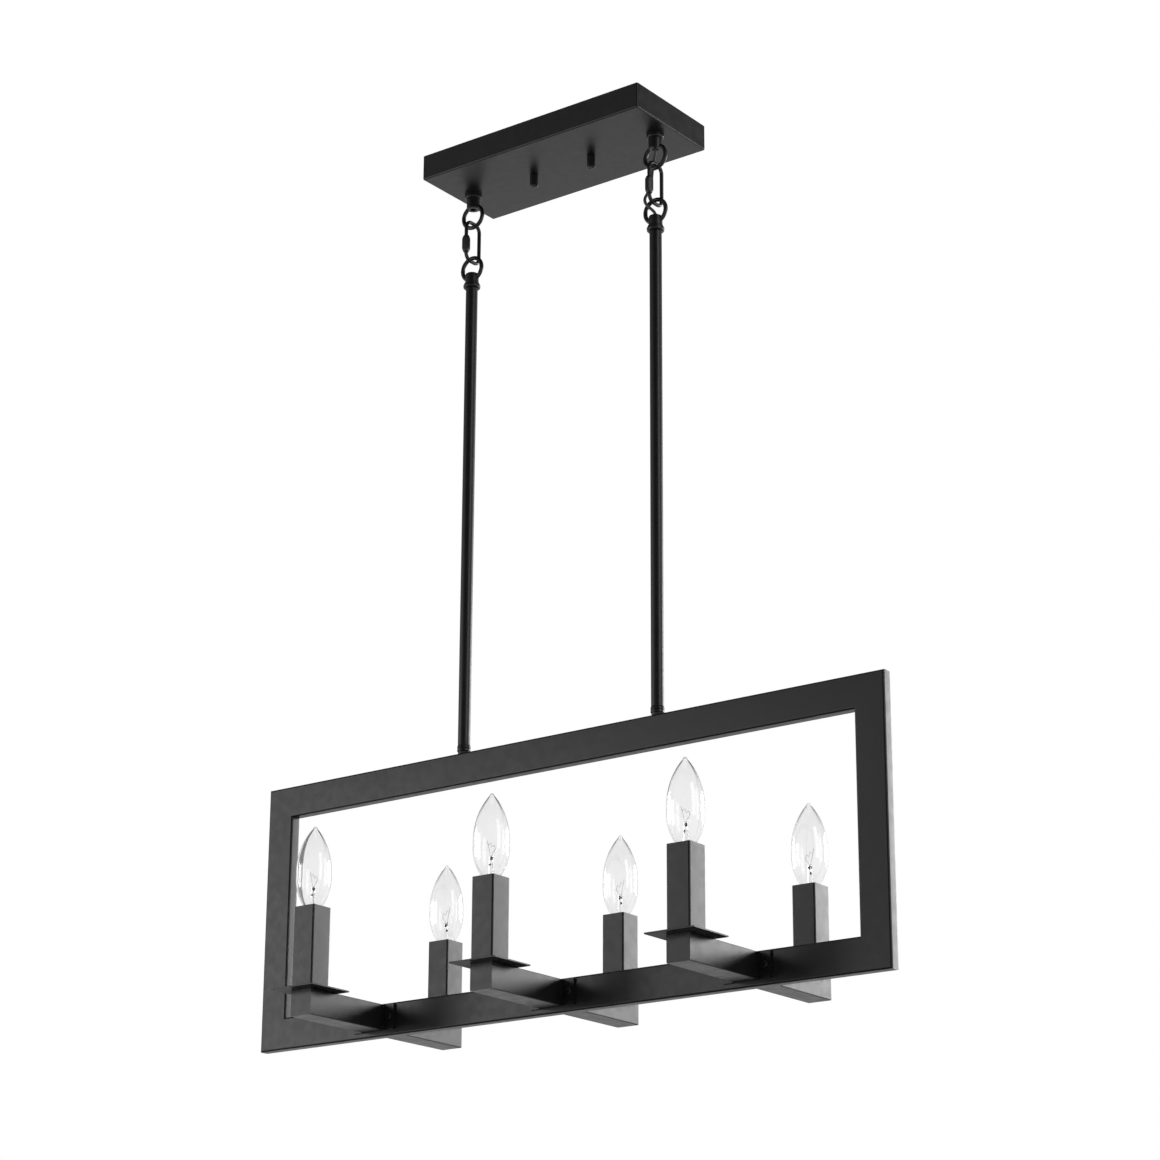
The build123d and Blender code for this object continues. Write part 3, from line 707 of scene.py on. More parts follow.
def washed(tree, mask, share, color, over):
    """A colour with another laid over it where a mask is, at a share of its strength."""
    return mixed(tree, math(tree, "MULTIPLY", mask, share), color, over)


def added(tree, first, first_share, second, second_share):
    """The sum of two values, each at its own share."""
    parts = ((first, first_share), (second, second_share))
    return math(tree, "ADD", *(math(tree, "MULTIPLY", value, share) for value, share in parts))


def dot(tree, first, second):
    node = add(tree, "ShaderNodeVectorMath", {0: first, 1: second}, operation="DOT_PRODUCT")
    return node.outputs["Value"]


def upright_part(tree, vector):
    return add(tree, "ShaderNodeSeparateXYZ", {0: vector}).outputs["Z"]


def object_place(tree):
    return add(tree, "ShaderNodeTexCoord").outputs["Object"]


def surface_normal(tree):
    return add(tree, "ShaderNodeNewGeometry").outputs["Normal"]


def seen_and_mirrored(tree):
    """1 for what the camera sees, plainly or through glass, and 1 for what a gloss mirrors."""
    path = add(tree, "ShaderNodeLightPath").outputs
    seen = math(tree, "MAXIMUM", path["Is Camera Ray"], path["Is Transmission Ray"])
    return seen, path["Is Glossy Ray"]


def noise(tree, size, detail, stretch=None):
    """Noise whose features are about the given size in metres."""
    vector = object_place(tree)
    if stretch:
        vector = add(tree, "ShaderNodeMapping", {"Vector": vector, "Scale": stretch}).outputs[0]
    scale = math(tree, "DIVIDE", 1.0, size) if isinstance(size, bpy.types.NodeSocket) else 1.0 / size
    inputs = {"Vector": vector, "Scale": scale, "Detail": detail}
    return add(tree, "ShaderNodeTexNoise", inputs).outputs["Fac"]


def coat_texture(tree, source):
    """Soft waves and fine grain of a sprayed or moulded skin."""
    peel = noise(tree, source["Peel Size"], 1.0)
    grain = noise(tree, source["Grain Size"], 1.0)
    share = math(tree, "MULTIPLY", grain, source["Grain Share"])
    drift = noise(tree, 45 * MM, 3.0)
    haze = noise(tree, 9 * MM, 4.0)
    gloss, tone = (ranged(tree, value, 0.35, 0.65) for value in (haze, drift))
    return math(tree, "ADD", peel, share), gloss, tone


def edge_mask(tree, source):
    """Outside edges, broken up by noise: 1 on the edge, 0 on the flats."""
    rounded = add(tree, "ShaderNodeBevel", {"Radius": source["Reach"]}, samples=3).outputs["Normal"]
    mask = ranged(tree, dot(tree, rounded, surface_normal(tree)), 0.995, 0.90)
    broken = ranged(tree, noise(tree, 4 * MM, 3.0), 0.30, 0.60, 0.4, 1.0)
    return (math(tree, "MULTIPLY", mask, broken),)


def settled_dust(tree, source):
    """Fine dust on what faces up: 1 where it lies thickest."""
    lying = ranged(tree, upright_part(tree, surface_normal(tree)), 0.75, 1.0)
    patches = ranged(tree, noise(tree, 14 * MM, 5.0), 0.35, 0.75)
    specks = ranged(tree, noise(tree, 0.7 * MM, 1.0), 0.55, 0.80)
    dust = math(tree, "MULTIPLY", added(tree, patches, 0.6, specks, 0.4), lying)
    return (math(tree, "MULTIPLY", dust, source["Amount"]),)


def plated_grain(tree, source):
    """Streaks and spangle of plated metal, or of metal pulled through a die."""
    scale = math(tree, "DIVIDE", 1.0, source["Spangle Size"])
    cells = add(tree, "ShaderNodeTexVoronoi", {"Vector": object_place(tree), "Scale": scale})
    cell = add(tree, "ShaderNodeSeparateColor", {0: cells.outputs["Color"]}).outputs[0]
    streaks = noise(tree, 0.5 * MM, 2.0, stretch=(1.0, 0.05, 1.0))
    return added(tree, cell, 0.5, streaks, 0.5), streaks


# each shared effect: what makes it, its inputs with their defaults, and its outputs
EFFECTS = (
    (coat_texture, {"Peel Size": 1.6 * MM, "Grain Size": 0.35 * MM, "Grain Share": 0.3},
     ("Height", "Gloss", "Tone")),
    (edge_mask, {"Reach": 0.6 * MM}, ("Mask",)),
    (settled_dust, {"Amount": 0.3}, ("Mask",)),
    (plated_grain, {"Spangle Size": 2 * MM}, ("Tone", "Height")),
)


def make_effect(maker, inputs, outputs):
    """A shader node group of number inputs and outputs, named after the function that fills it."""
    tree = bpy.data.node_groups.new(maker.__name__, "ShaderNodeTree")
    for label, default in inputs.items():
        socket = tree.interface.new_socket(name=label, in_out="INPUT", socket_type="NodeSocketFloat")
        socket.default_value = default
    for label in outputs:
        tree.interface.new_socket(name=label, in_out="OUTPUT", socket_type="NodeSocketFloat")
    source = tree.nodes.new("NodeGroupInput")
    result = tree.nodes.new("NodeGroupOutput")
    for label, value in zip(outputs, maker(tree, source.outputs)):
        tree.links.new(value, result.inputs[label])


def spaced(values):
    """Named values under the labels that a node's sockets have."""
    return {name.replace("_", " "): value for name, value in values.items()}


def effect(tree, name, **values):
    """Places one of the shared effects in a material."""
    node = tree.nodes.new("ShaderNodeGroup")
    node.node_tree = bpy.data.node_groups[name]
    feed(tree, node.inputs, spaced(values))
    return node.outputs


def new_material(name):
    """An empty material with one Principled shader, and its tree."""
    material = bpy.data.materials.new(name)
    material.use_nodes = True
    tree = material.node_tree
    tree.nodes.clear()
    shader = tree.nodes.new("ShaderNodeBsdfPrincipled")
    output = tree.nodes.new("ShaderNodeOutputMaterial")
    tree.links.new(shader.outputs["BSDF"], output.inputs["Surface"])
    return tree, shader


def shade(tree, shader, **values):
    feed(tree, shader.inputs, spaced(values))


def finish(tree, shader, color, rough, height, strength, depth, **more):
    """Gives the shader its colour, roughness, a bump from a height, and whatever else it needs."""
    inputs = {"Strength": strength, "Distance": depth, "Height": height}
    normal = add(tree, "ShaderNodeBump", inputs).outputs["Normal"]
    shade(tree, shader, Base_Color=color, Roughness=rough, Normal=normal, **more)


def satin_black_coat(coat):
    """Satin black powder coat: soft orange peel, a little haze, glossier edges with painted shade along
    them.
    """
    tree, shader = new_material("satin_black_coat")
    skin = effect(tree, "coat_texture", Peel_Size=coat.peel_size, Grain_Size=coat.grain_size)
    edge = effect(tree, "edge_mask", Reach=0.5 * MM)["Mask"]
    dust = effect(tree, "settled_dust", Amount=0.10)["Mask"]
    dark = dimmed(coat.color, 0.86)
    light = dimmed(coat.color, 1.18)
    color = mixed(tree, skin["Tone"], dark, light)
    # painted shade: the colour is darkened towards black along the outside edges
    color = washed(tree, edge, EDGE_PAINTED_SHADE, color, EDGE_PAINTED_SHADE_COLOR)
    color = mixed(tree, dust, color, DUST_COLOR)
    rough = spread(tree, skin["Gloss"], coat.roughness - HAZE, coat.roughness + HAZE)
    rough = math(tree, "SUBTRACT", rough, math(tree, "MULTIPLY", edge, EDGE_GLOSS))
    rough = math(tree, "ADD", rough, dust, clamp=True)
    finish(tree, shader, color, rough, skin["Height"], 0.22, 0.04 * MM)


def black_oxide_screw():
    """Blackened steel of the small screws: darker and a little oilier than the coat."""
    tree, shader = new_material("black_oxide_screw")
    grain = effect(tree, "plated_grain", Spangle_Size=0.9 * MM)
    edge = effect(tree, "edge_mask", Reach=0.25 * MM)["Mask"]
    color = mixed(tree, grain["Tone"], (0.010, 0.010, 0.012), (0.026, 0.026, 0.030))
    color = washed(tree, edge, 0.5, color, (0.10, 0.10, 0.10))
    rough = spread(tree, grain["Tone"], 0.28, 0.42)
    finish(tree, shader, color, rough, grain["Height"], 0.15, 0.03 * MM, Metallic=0.65)


def plated_metal(name, dark, light, rough_low, rough_high, spangle):
    """Plated metal, or metal pulled through a die, with spangle, streaks and a duller film in patches."""
    tree, shader = new_material(name)
    grain = effect(tree, "plated_grain", Spangle_Size=spangle)
    film = effect(tree, "coat_texture", Peel_Size=6 * MM, Grain_Size=0.5 * MM)
    edge = effect(tree, "edge_mask", Reach=0.3 * MM)["Mask"]
    color = mixed(tree, grain["Tone"], dark, light)
    color = washed(tree, film["Tone"], 0.3, color, dimmed(dark, 0.5))
    color = washed(tree, edge, 0.4, color, [min(1, 1.2 * c) for c in light])
    rough = spread(tree, film["Gloss"], rough_low, rough_high)
    finish(tree, shader, color, rough, grain["Height"], 0.20, 0.03 * MM, Metallic=1.0)


def clear_bulb_glass():
    """Clear glass with faint drawing lines, and painted shade at its rim that darkens near the tip."""
    tree, shader = new_material("clear_bulb_glass")
    rim = add(tree, "ShaderNodeLayerWeight", {"Blend": 0.35}).outputs["Facing"]
    # painted shade: the glass greys towards its rim, where the eye looks along its wall
    tint_and_painted_shade = mixed(tree, ranged(tree, rim, 0.45, 0.98), GLASS_FACE, GLASS_RIM_SHADE)
    height = upright_part(tree, object_place(tree))
    # painted shade: near the tip the glass is darkened almost to black at its rim
    crown = ranged(tree, height, tip_z - CROWN_SHADE_START, tip_z - CROWN_SHADE_FULL)
    painted_crown_shade = math(tree, "MULTIPLY", crown, ranged(tree, rim, 0.30, 0.62))
    tint_and_painted_shade = mixed(tree, painted_crown_shade, tint_and_painted_shade, GLASS_CROWN_SHADE)
    waves = noise(tree, 16 * MM, 1.0, stretch=(1.0, 1.0, 0.25))
    film = effect(tree, "coat_texture", Peel_Size=8 * MM, Grain_Size=1 * MM)
    rough = spread(tree, film["Gloss"], 0.0, 0.015)
    finish(tree, shader, tint_and_painted_shade, rough, waves, 0.10, 0.4 * MM, IOR=1.46, Transmission_Weight=1.0)


def dark_glass_insulator():
    """The black glass between a bulb's screw shell and its centre contact."""
    tree, shader = new_material("dark_glass_insulator")
    skin = effect(tree, "coat_texture", Peel_Size=1.2 * MM, Grain_Size=0.3 * MM)
    color = mixed(tree, skin["Tone"], (0.012, 0.010, 0.016), (0.030, 0.024, 0.036))
    rough = spread(tree, skin["Gloss"], 0.12, 0.22)
    finish(tree, shader, color, rough, skin["Height"], 0.3, 0.05 * MM, Coat_Weight=0.4)


def moulded_holder():
    """Dark phenolic moulding of the lamp holders, with the pale flecks of its filler."""
    tree, shader = new_material("moulded_holder")
    skin = effect(tree, "coat_texture", Peel_Size=0.9 * MM, Grain_Size=0.2 * MM, Grain_Share=0.5)
    flecks = ranged(tree, noise(tree, 0.35 * MM, 1.0), 0.66, 0.78)
    edge = effect(tree, "edge_mask", Reach=0.4 * MM)["Mask"]
    color = mixed(tree, skin["Tone"], (0.030, 0.028, 0.027), (0.050, 0.047, 0.045))
    color = washed(tree, flecks, 0.4, color, (0.16, 0.15, 0.14))
    color = washed(tree, edge, 0.3, color, (0.12, 0.115, 0.11))
    rough = spread(tree, skin["Gloss"], 0.48, 0.62)
    finish(tree, shader, color, rough, skin["Height"], 0.25, 0.05 * MM)


def cord_jacket(cord):
    """Soft dark jacket, mottled by the conductors beneath it, with a painted highlight along it."""
    tree, shader = new_material("cord_jacket")
    skin = effect(tree, "coat_texture", Peel_Size=1.1 * MM, Grain_Size=0.25 * MM, Grain_Share=0.4)
    lay = noise(tree, 1.5 * MM, 2.0, stretch=(1.0, 1.0, 0.45))
    dark = dimmed(cord.jacket_color, 0.55)
    pale = dimmed(cord.jacket_color, 2.3)
    color = mixed(tree, ranged(tree, lay, 0.40, 0.62), dark, pale)
    # painted highlight: a pale line laid into the jacket's colour
    stripe = add(tree, "ShaderNodeAttribute", attribute_name="stripe").outputs["Fac"]
    color = mixed(tree, stripe, color, cord.stripe_color)
    rough = spread(tree, skin["Gloss"], 0.30, 0.42)
    finish(tree, shader, color, rough, skin["Height"], 0.3, 0.06 * MM, Sheen_Weight=0.1)


def thin_wire(name, dark, light, rough):
    """Drawn wire: fine streaks across a small range of tone."""
    tree, shader = new_material(name)
    grain = effect(tree, "plated_grain", Spangle_Size=0.4 * MM)
    color = mixed(tree, grain["Tone"], dark, light)
    finish(tree, shader, color, rough, grain["Height"], 0.2, 0.02 * MM, Metallic=0.9)


def make_materials(scene):
    for shared in EFFECTS:
        make_effect(*shared)
    metal = tuple(scene.pendant_bulb.metal_color)
    satin_black_coat(scene.pendant_coat)
    black_oxide_screw()
    plated_metal("zinc_plate", (0.46, 0.47, 0.49), (0.68, 0.69, 0.70), 0.26, 0.42, 2.2 * MM)
    plated_metal("nickelled_brass", dimmed(metal, 0.8), metal, 0.22, 0.36, 1.2 * MM)
    plated_metal("socket_brass", (0.55, 0.40, 0.17), (0.78, 0.60, 0.30), 0.24, 0.38, 1.2 * MM)
    plated_metal("solder", (0.42, 0.42, 0.43), (0.62, 0.62, 0.63), 0.30, 0.45, 0.8 * MM)
    clear_bulb_glass()
    dark_glass_insulator()
    moulded_holder()
    cord_jacket(scene.pendant_cord)
    thin_wire("tungsten_filament", (0.05, 0.05, 0.05), (0.14, 0.14, 0.14), 0.45)
    thin_wire("nickel_lead_wire", (0.35, 0.34, 0.32), (0.58, 0.56, 0.53), 0.3)
    thin_wire("sealed_wire", (0.016, 0.010, 0.009), (0.045, 0.026, 0.022), 0.4)


# ---- supply cord ------------------------------------------------------------------------


def cord_points(route):
    return [(hang_x + x * MM, y * MM, canopy_floor + z * MM) for x, y, z in route]


def striped(mesh, line, first_turn, last_turn):
    """Marks a narrow painted highlight that winds slowly round the cord, for its material to read."""
    line_points = [vert.co.copy() for vert in line.vertices]
    values = []
    for vert in mesh.vertices:
        nearest = min(range(len(line_points)), key=lambda n: (line_points[n] - vert.co).length)
        side = (vert.co - line_points[nearest]).normalized()
        # painted highlight: how far round the cord the pale line lies at each point along it
        turn = first_turn + (last_turn - first_turn) * (nearest / len(line_points)) ** 2
        across = side.x * cos(turn) + side.y * sin(turn)
        values.append(max(0.0, min(1.0, (across - PAINTED_HIGHLIGHT_EDGE) / PAINTED_HIGHLIGHT_SOFTNESS)))
    stripe = mesh.attributes.new("stripe", "FLOAT", "POINT")
    stripe.data.foreach_set("value", values)


def cord_piece(route, name, node, painted_highlight_turns):
    """One stretch of the supply cord, bent along its route."""
    points = cord_points(route)
    line = curve_mesh(curve_line(points))
    tube = curve_mesh(curve_line(points), CORD_DIAMETER)
    striped(tube, line, *painted_highlight_turns)
    tube.shade_smooth()
    piece = dressed(tube, name, None, "cord_jacket", [node])
    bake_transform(piece)


class PENDANT_OT_supply_cord(bpy.types.Operator):
    """Lay the supply cord past the right-hand link"""

    bl_idname = "pendant.supply_cord"
    bl_label = "Supply cord"

    def execute(self, context):
        cord_piece(
            CORD_ROUTE_UPPER, "supply_cord_upper_jacket", "supply_cord_upper",
            (radians(-50), radians(-190)),
        )
        cord_piece(
            CORD_ROUTE_LOWER, "supply_cord_lower_jacket", "supply_cord_lower",
            (radians(-190), radians(-230)),
        )
        return {"FINISHED"}


# ---- canopy -----------------------------------------------------------------------------


def canopy_pan():
    """Folded pan, open upwards, with holes for the pipes and the studs."""
    low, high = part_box("canopy_pan")
    pan = block(low, high)
    round_edges(pan, CANOPY_FOLD, lambda edge: any(vert.co.z < high.z - WELD for vert in edge.verts))
    wall = Vector((CANOPY_SHEET, CANOPY_SHEET, CANOPY_SHEET))
    inside = block(low + wall, high - wall + Vector((0, 0, 2 * CANOPY_SHEET)))
    pan = cut(pan, inside)
    for side in SIDES.values():
        for diameter, x in ((PIPE_HOLE, hang_x), (STUD_DIAMETER + HOLE_CLEARANCE, STUD_X)):
            pan = drilled(pan, diameter, low.z - MM, low.z + 5 * MM, side * x)
    return pan


def mounting_bracket():
    """Cross-shaped plate with a slot for each ceiling box screw and a hole for each stud."""
    low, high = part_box("mounting_bracket")
    bar = BRACKET_BAR / 2
    plate = block((low.x, -bar, low.z), (high.x, bar, high.z))
    plate = combined(plate, block((-bar, low.y, low.z), (bar, high.y, high.z)), "UNION")
    bmesh.ops.dissolve_limit(plate, angle_limit=radians(1), verts=plate.verts, edges=plate.edges)
    round_edges(plate, BRACKET_CORNER, lambda edge: runs_along(edge, 2))
    soften(plate, 0.2 * MM)
    half_width = BOX_SLOT_WIDTH / 2
    far = (BOX_SCREW_SPACING + BOX_SLOT_LENGTH) / 2
    for side in SIDES.values():
        start, end = sorted((side * (far - BOX_SLOT_LENGTH), side * far))
        slot = block((-half_width, start, low.z - MM), (half_width, end, high.z + MM))
        round_edges(slot, 0.98 * half_width, lambda edge: runs_along(edge, 2), segments=8)
        plate = cut(plate, slot)
        plate = drilled(plate, STUD_BORE, low.z - MM, high.z + MM, side * STUD_X)
    return plate


def thumb_nut(side):
    """Blind nut with a chamfered foot and a screwdriver slot across it."""
    low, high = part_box(f"thumb_nut_{side}")
    x = (low.x + high.x) / 2
    radius = (high.x - low.x) / 2
    outline = [
        (0, low.z), (radius - THUMB_NUT_CHAMFER, low.z, 0.3 * MM),
        (radius, low.z + THUMB_NUT_CHAMFER, 0.3 * MM), (radius, high.z, 0.2 * MM), (0, high.z),
    ]
    nut = lathe(outline, x)
    slot = block(
        (x - 2 * radius, -THUMB_NUT_SLOT / 2, low.z - MM),
        (x + 2 * radius, THUMB_NUT_SLOT / 2, low.z + THUMB_NUT_SLOT_DEPTH),
    )
    return drilled(cut(nut, slot), STUD_BORE, high.z - THUMB_NUT_BORE_DEPTH, high.z + MM, x)


class PENDANT_OT_canopy(bpy.types.Operator):
    """Make the canopy pan, the bracket behind it, and the studs and nuts that hold them"""

    bl_idname = "pendant.canopy"
    bl_label = "Canopy"

    def execute(self, context):
        coated(canopy_pan(), "canopy_pan", "canopy")
        low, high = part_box("canopy_studs")
        bracket_foot = lowest("mounting_bracket").z
        pan_top = canopy_floor + CANOPY_SHEET
        studs = []
        nuts = []
        for side in SIDES.values():
            x = side * STUD_X
            nut_foot = bracket_foot - STUD_NUT_HEIGHT
            nut_top = pan_top + PIPE_NUT_HEIGHT
            studs.append(threaded_bar(STUD_DIAMETER, STUD_PITCH, STUD_THREAD_DEPTH, low.z, high.z, x))
            nuts.append(hex_nut(STUD_NUT_FLATS, STUD_DIAMETER, nut_foot, bracket_foot, x))
            nuts.append(hex_nut(PIPE_NUT_FLATS, PIPE_THREAD, pan_top, nut_top, side * hang_x))
        for form, node, finish in (
            (mounting_bracket(), "mounting_bracket", "plated"),
            (gathered(studs), "canopy_studs", "threaded"),
            (gathered(nuts), "canopy_lock_nuts", "plated"),
        ):
            formed(form, f"{node}_{finish}", "canopy", "zinc_plate", [node])
        for name in SIDES:
            coated(thumb_nut(name), f"thumb_nut_{name}", f"thumb_nut_{name}")
        repainted("canopy_lead", "cord_jacket")
        return {"FINISHED"}


# ---- hanging points ---------------------------------------------------------------------


def loop_collar(side):
    radius = COLLAR_DIAMETER / 2
    bore = PIPE_THREAD / 2 + COLLAR_CLEARANCE
    outline = [
        (bore, collar_foot), (radius, collar_foot, COLLAR_ROUNDING),
        (radius, canopy_floor, 0.2 * MM), (bore, canopy_floor),
    ]
    return lathe(outline, side * hang_x)


def canopy_loop(side):
    """Hub and wire ring below the canopy, and the threaded pipe that holds them from inside."""
    x = side * hang_x
    pipe_top = highest("canopy_loop_right").z
    pan_top = canopy_floor + CANOPY_SHEET
    hub = HUB_DIAMETER / 2
    pipe = PIPE_THREAD / 2
    outline = [
        (0, hub_foot), (hub, hub_foot, 0.8 * MM), (hub, collar_foot), (pipe, collar_foot),
        (pipe, pan_top), (0, pan_top),
    ]
    loop = combined(lathe(outline, x), wire_ring(x, upper_ring_z), "UNION")
    thread = threaded_bar(PIPE_THREAD, PIPE_PITCH, PIPE_THREAD_DEPTH, pan_top - 0.1 * MM, pipe_top, x)
    loop = combined(loop, thread, "UNION")
    return drilled(loop, WIRE_BORE, hub_foot - RING_WIRE, pipe_top + MM, x)


def quick_link(name):
    """Oval of round wire with an open mouth in its front bar."""
    low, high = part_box(f"quick_link_{name}")
    x = (low.x + high.x) / 2
    half = high.y - LINK_WIRE / 2
    foot = low.z + LINK_WIRE / 2
    top = high.z - LINK_WIRE / 2
    straight = 2 * (half - LINK_CORNER)
    height = top - foot - 2 * LINK_CORNER
    mouth_low = foot + LINK_CORNER + LINK_MOUTH_ABOVE_BEND
    runs = [
        LINK_MOUTH_ABOVE_BEND, straight, height, straight,
        height - LINK_MOUTH_ABOVE_BEND - LINK_MOUTH,
    ]
    return bent_bar((x, -half, mouth_low), (0, 0, -1), LINK_WIRE, LINK_CORNER, runs)


def link_sleeve(name):
    """Hexagonal sleeve nut with tapered ends that bridges the link's mouth."""
    low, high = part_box(f"link_sleeve_{name}")
    place = (low + high) / 2
    bore = LINK_WIRE + THREAD_CLEARANCE
    end = (SLEEVE_NUT_FLATS + bore) / 4
    return hex_nut(SLEEVE_NUT_FLATS, bore, low.z, high.z, place.x, place.y, SLEEVE_NUT_TAPER, end)


def rod_loop(side):
    """Ring on a domed hub over a double bead, with a spigot inside the rod."""
    x = side * hang_x
    bead_top = rod_top + BEAD_HEIGHT
    upper_top = bead_top + UPPER_BEAD_HEIGHT
    hub = ROD_HUB_DIAMETER / 2
    spigot = rod_radius - ROD_WALL - SPIGOT_CLEARANCE
    outline = [
        (0, rod_top - SPIGOT_LENGTH), (spigot, rod_top - SPIGOT_LENGTH), (spigot, rod_top),
        (BEAD_DIAMETER / 2, rod_top, 0.42 * BEAD_HEIGHT),
        (BEAD_DIAMETER / 2, bead_top, 0.42 * BEAD_HEIGHT), (UPPER_BEAD_DIAMETER / 2, bead_top),
        (UPPER_BEAD_DIAMETER / 2, upper_top, 0.5 * UPPER_BEAD_HEIGHT), (hub, upper_top),
        (hub, rod_hub_top, ROD_HUB_DOME), (0, rod_hub_top),
    ]
    loop = combined(lathe(outline, x), wire_ring(x, lower_ring_z), "UNION")
    return drilled(loop, WIRE_BORE, rod_top - SPIGOT_LENGTH - MM, lower_ring_z, x)


class PENDANT_OT_hanging_points(bpy.types.Operator):
    """Make the canopy loops, the threaded links with their sleeve nuts, and the rod loops"""

    bl_idname = "pendant.hanging_points"
    bl_label = "Loops and links"

    def execute(self, context):
        coated(gathered([loop_collar(side) for side in SIDES.values()]), "loop_collars", "canopy")
        for name, side in SIDES.items():
            coated(canopy_loop(side), f"canopy_loop_{name}", "canopy")
            coated(quick_link(name), f"quick_link_{name}", f"link_{name}")
            coated(link_sleeve(name), f"link_sleeve_{name}", f"link_sleeve_{name}")
            coated(rod_loop(side), f"rod_loop_{name}", "pendant")
        return {"FINISHED"}


# ---- rods -------------------------------------------------------------------------------


def downrod(side):
    bore = rod_radius - ROD_WALL
    outline = [
        (bore, rod_foot), (rod_radius, rod_foot, 0.3 * MM), (rod_radius, rod_top, 0.3 * MM),
        (bore, rod_top),
    ]
    return lathe(outline, side * hang_x)


def rod_coupling(side):
    """Turned coupling: flared collar, groove, ring, groove and a tapered foot."""
    outer = COUPLING_DIAMETER / 2
    groove = rod_radius - COUPLING_GROOVE
    spigot = rod_radius - ROD_WALL - SPIGOT_CLEARANCE
    bore = COUPLING_BORE / 2
    thread = COUPLING_THREAD / 2
    collar_end = rod_foot - COUPLING_COLLAR
    ring_top = collar_end - COUPLING_GROOVE
    ring_end = ring_top - COUPLING_RING
    foot_top = ring_end - COUPLING_GROOVE
    outline = [
        (bore, rod_foot + SPIGOT_LENGTH), (spigot, rod_foot + SPIGOT_LENGTH), (spigot, rod_foot),
        (rod_radius, rod_foot), (outer, rod_foot - COUPLING_COLLAR / 3),
        (outer, collar_end, 0.3 * MM), (groove, collar_end), (groove, ring_top),
        (outer, ring_top, 0.3 * MM), (outer, ring_end, 0.3 * MM), (groove, ring_end),
        (groove, foot_top), (rod_radius, foot_top, 0.2 * MM), (groove, frame_top),
        (thread, frame_top), (thread, frame_top - COUPLING_THREAD_LENGTH),
        (bore, frame_top - COUPLING_THREAD_LENGTH),
    ]
    return lathe(outline, side * hang_x)


class PENDANT_OT_rods(bpy.types.Operator):
    """Make the two rods and the turned couplings at their feet"""

    bl_idname = "pendant.rods"
    bl_label = "Rods"

    def execute(self, context):
        for name, side in SIDES.items():
            coated(downrod(side), f"downrod_{name}", "pendant")
        couplings = [rod_coupling(side) for side in SIDES.values()]
        coated(gathered(couplings), "rod_couplings", "pendant")
        return {"FINISHED"}


# ---- frame ------------------------------------------------------------------------------


def mitred_tube(half_length):
    """Flat rectangular tube along X with its ends cut at 45 degrees, long face up, centred."""
    half_face = rail_face / 2
    half_depth = rail_depth / 2
    outside = block((-half_length, -half_depth, -half_face), (half_length, half_depth, half_face))
    round_edges(outside, RAIL_EDGE, lambda edge: runs_along(edge, 0))
    inner_depth = half_depth - RAIL_WALL
    inner_face = half_face - RAIL_WALL
    past_end = half_length + rail_face
    inside = block((-past_end, -inner_depth, -inner_face), (past_end, inner_depth, inner_face))
    tube = cut(outside, inside)
    for vert in tube.verts:
        side = 1 if vert.co.x > 0 else -1
        vert.co.x = side * (half_length - (half_face - vert.co.z))
    return tube


def top_rail():
    """Rail with a nut welded under its top wall for each rod's coupling."""
    rail = moved(mitred_tube(frame_half), (0, 0, frame_top - rail_face / 2))
    wall_foot = frame_top - RAIL_WALL
    half_depth = rail_depth / 2 - RAIL_WALL - WELD_NUT_CLEARANCE
    for side in SIDES.values():
        x = side * hang_x
        nut = block(
            (x - WELD_NUT_LENGTH / 2, -half_depth, wall_foot - WELD_NUT_HEIGHT),
            (x + WELD_NUT_LENGTH / 2, half_depth, wall_foot + 0.5 * RAIL_WALL),
        )
        rail = combined(rail, nut, "UNION")
        rail = drilled(rail, COUPLING_THREAD, wall_foot - 2 * WELD_NUT_HEIGHT, frame_top + MM, x)
    return rail


def flange_drilled(form, x, y, z, start, end):
    """A form with the wiring's hole and the two screw holes of an arm along Y."""
    for diameter, offset in ((FLANGE_BORE, 0), (SCREW_SHANK, -EAR_SCREW_X), (SCREW_SHANK, EAR_SCREW_X)):
        form = cut(form, laid_along_y(post(diameter, start, end), x + offset, y, z))
    return form


def bottom_rail():
    """Rail with a bore and two screw holes through it at each arm."""
    foot = lowest("frame_bottom_rail").z
    turn = Matrix.Rotation(pi, 3, "X")
    rail = moved(mitred_tube(frame_half), (0, 0, foot + rail_face / 2), turn)
    arm_z = middle("arm_5").z
    for x in arm_xs:
        rail = flange_drilled(rail, x, 0, arm_z, -rail_depth, rail_depth)
    return rail


def stile(side):
    low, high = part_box("frame_stile_right")
    turn = Matrix.Rotation(side * pi / 2, 3, "Y")
    tube = mitred_tube((high.z - low.z) / 2)
    return moved(tube, (side * (frame_half - rail_face / 2), 0, (low.z + high.z) / 2), turn)


class PENDANT_OT_frame(bpy.types.Operator):
    """Make the rectangular frame from four mitred tubes"""

    bl_idname = "pendant.frame"
    bl_label = "Frame"

    def execute(self, context):
        coated(top_rail(), "frame_top_rail", "pendant")
        coated(bottom_rail(), "frame_bottom_rail", "pendant")
        for name, side in SIDES.items():
            coated(stile(side), f"frame_stile_{name}", "pendant")
        return {"FINISHED"}


# ---- arms -------------------------------------------------------------------------------


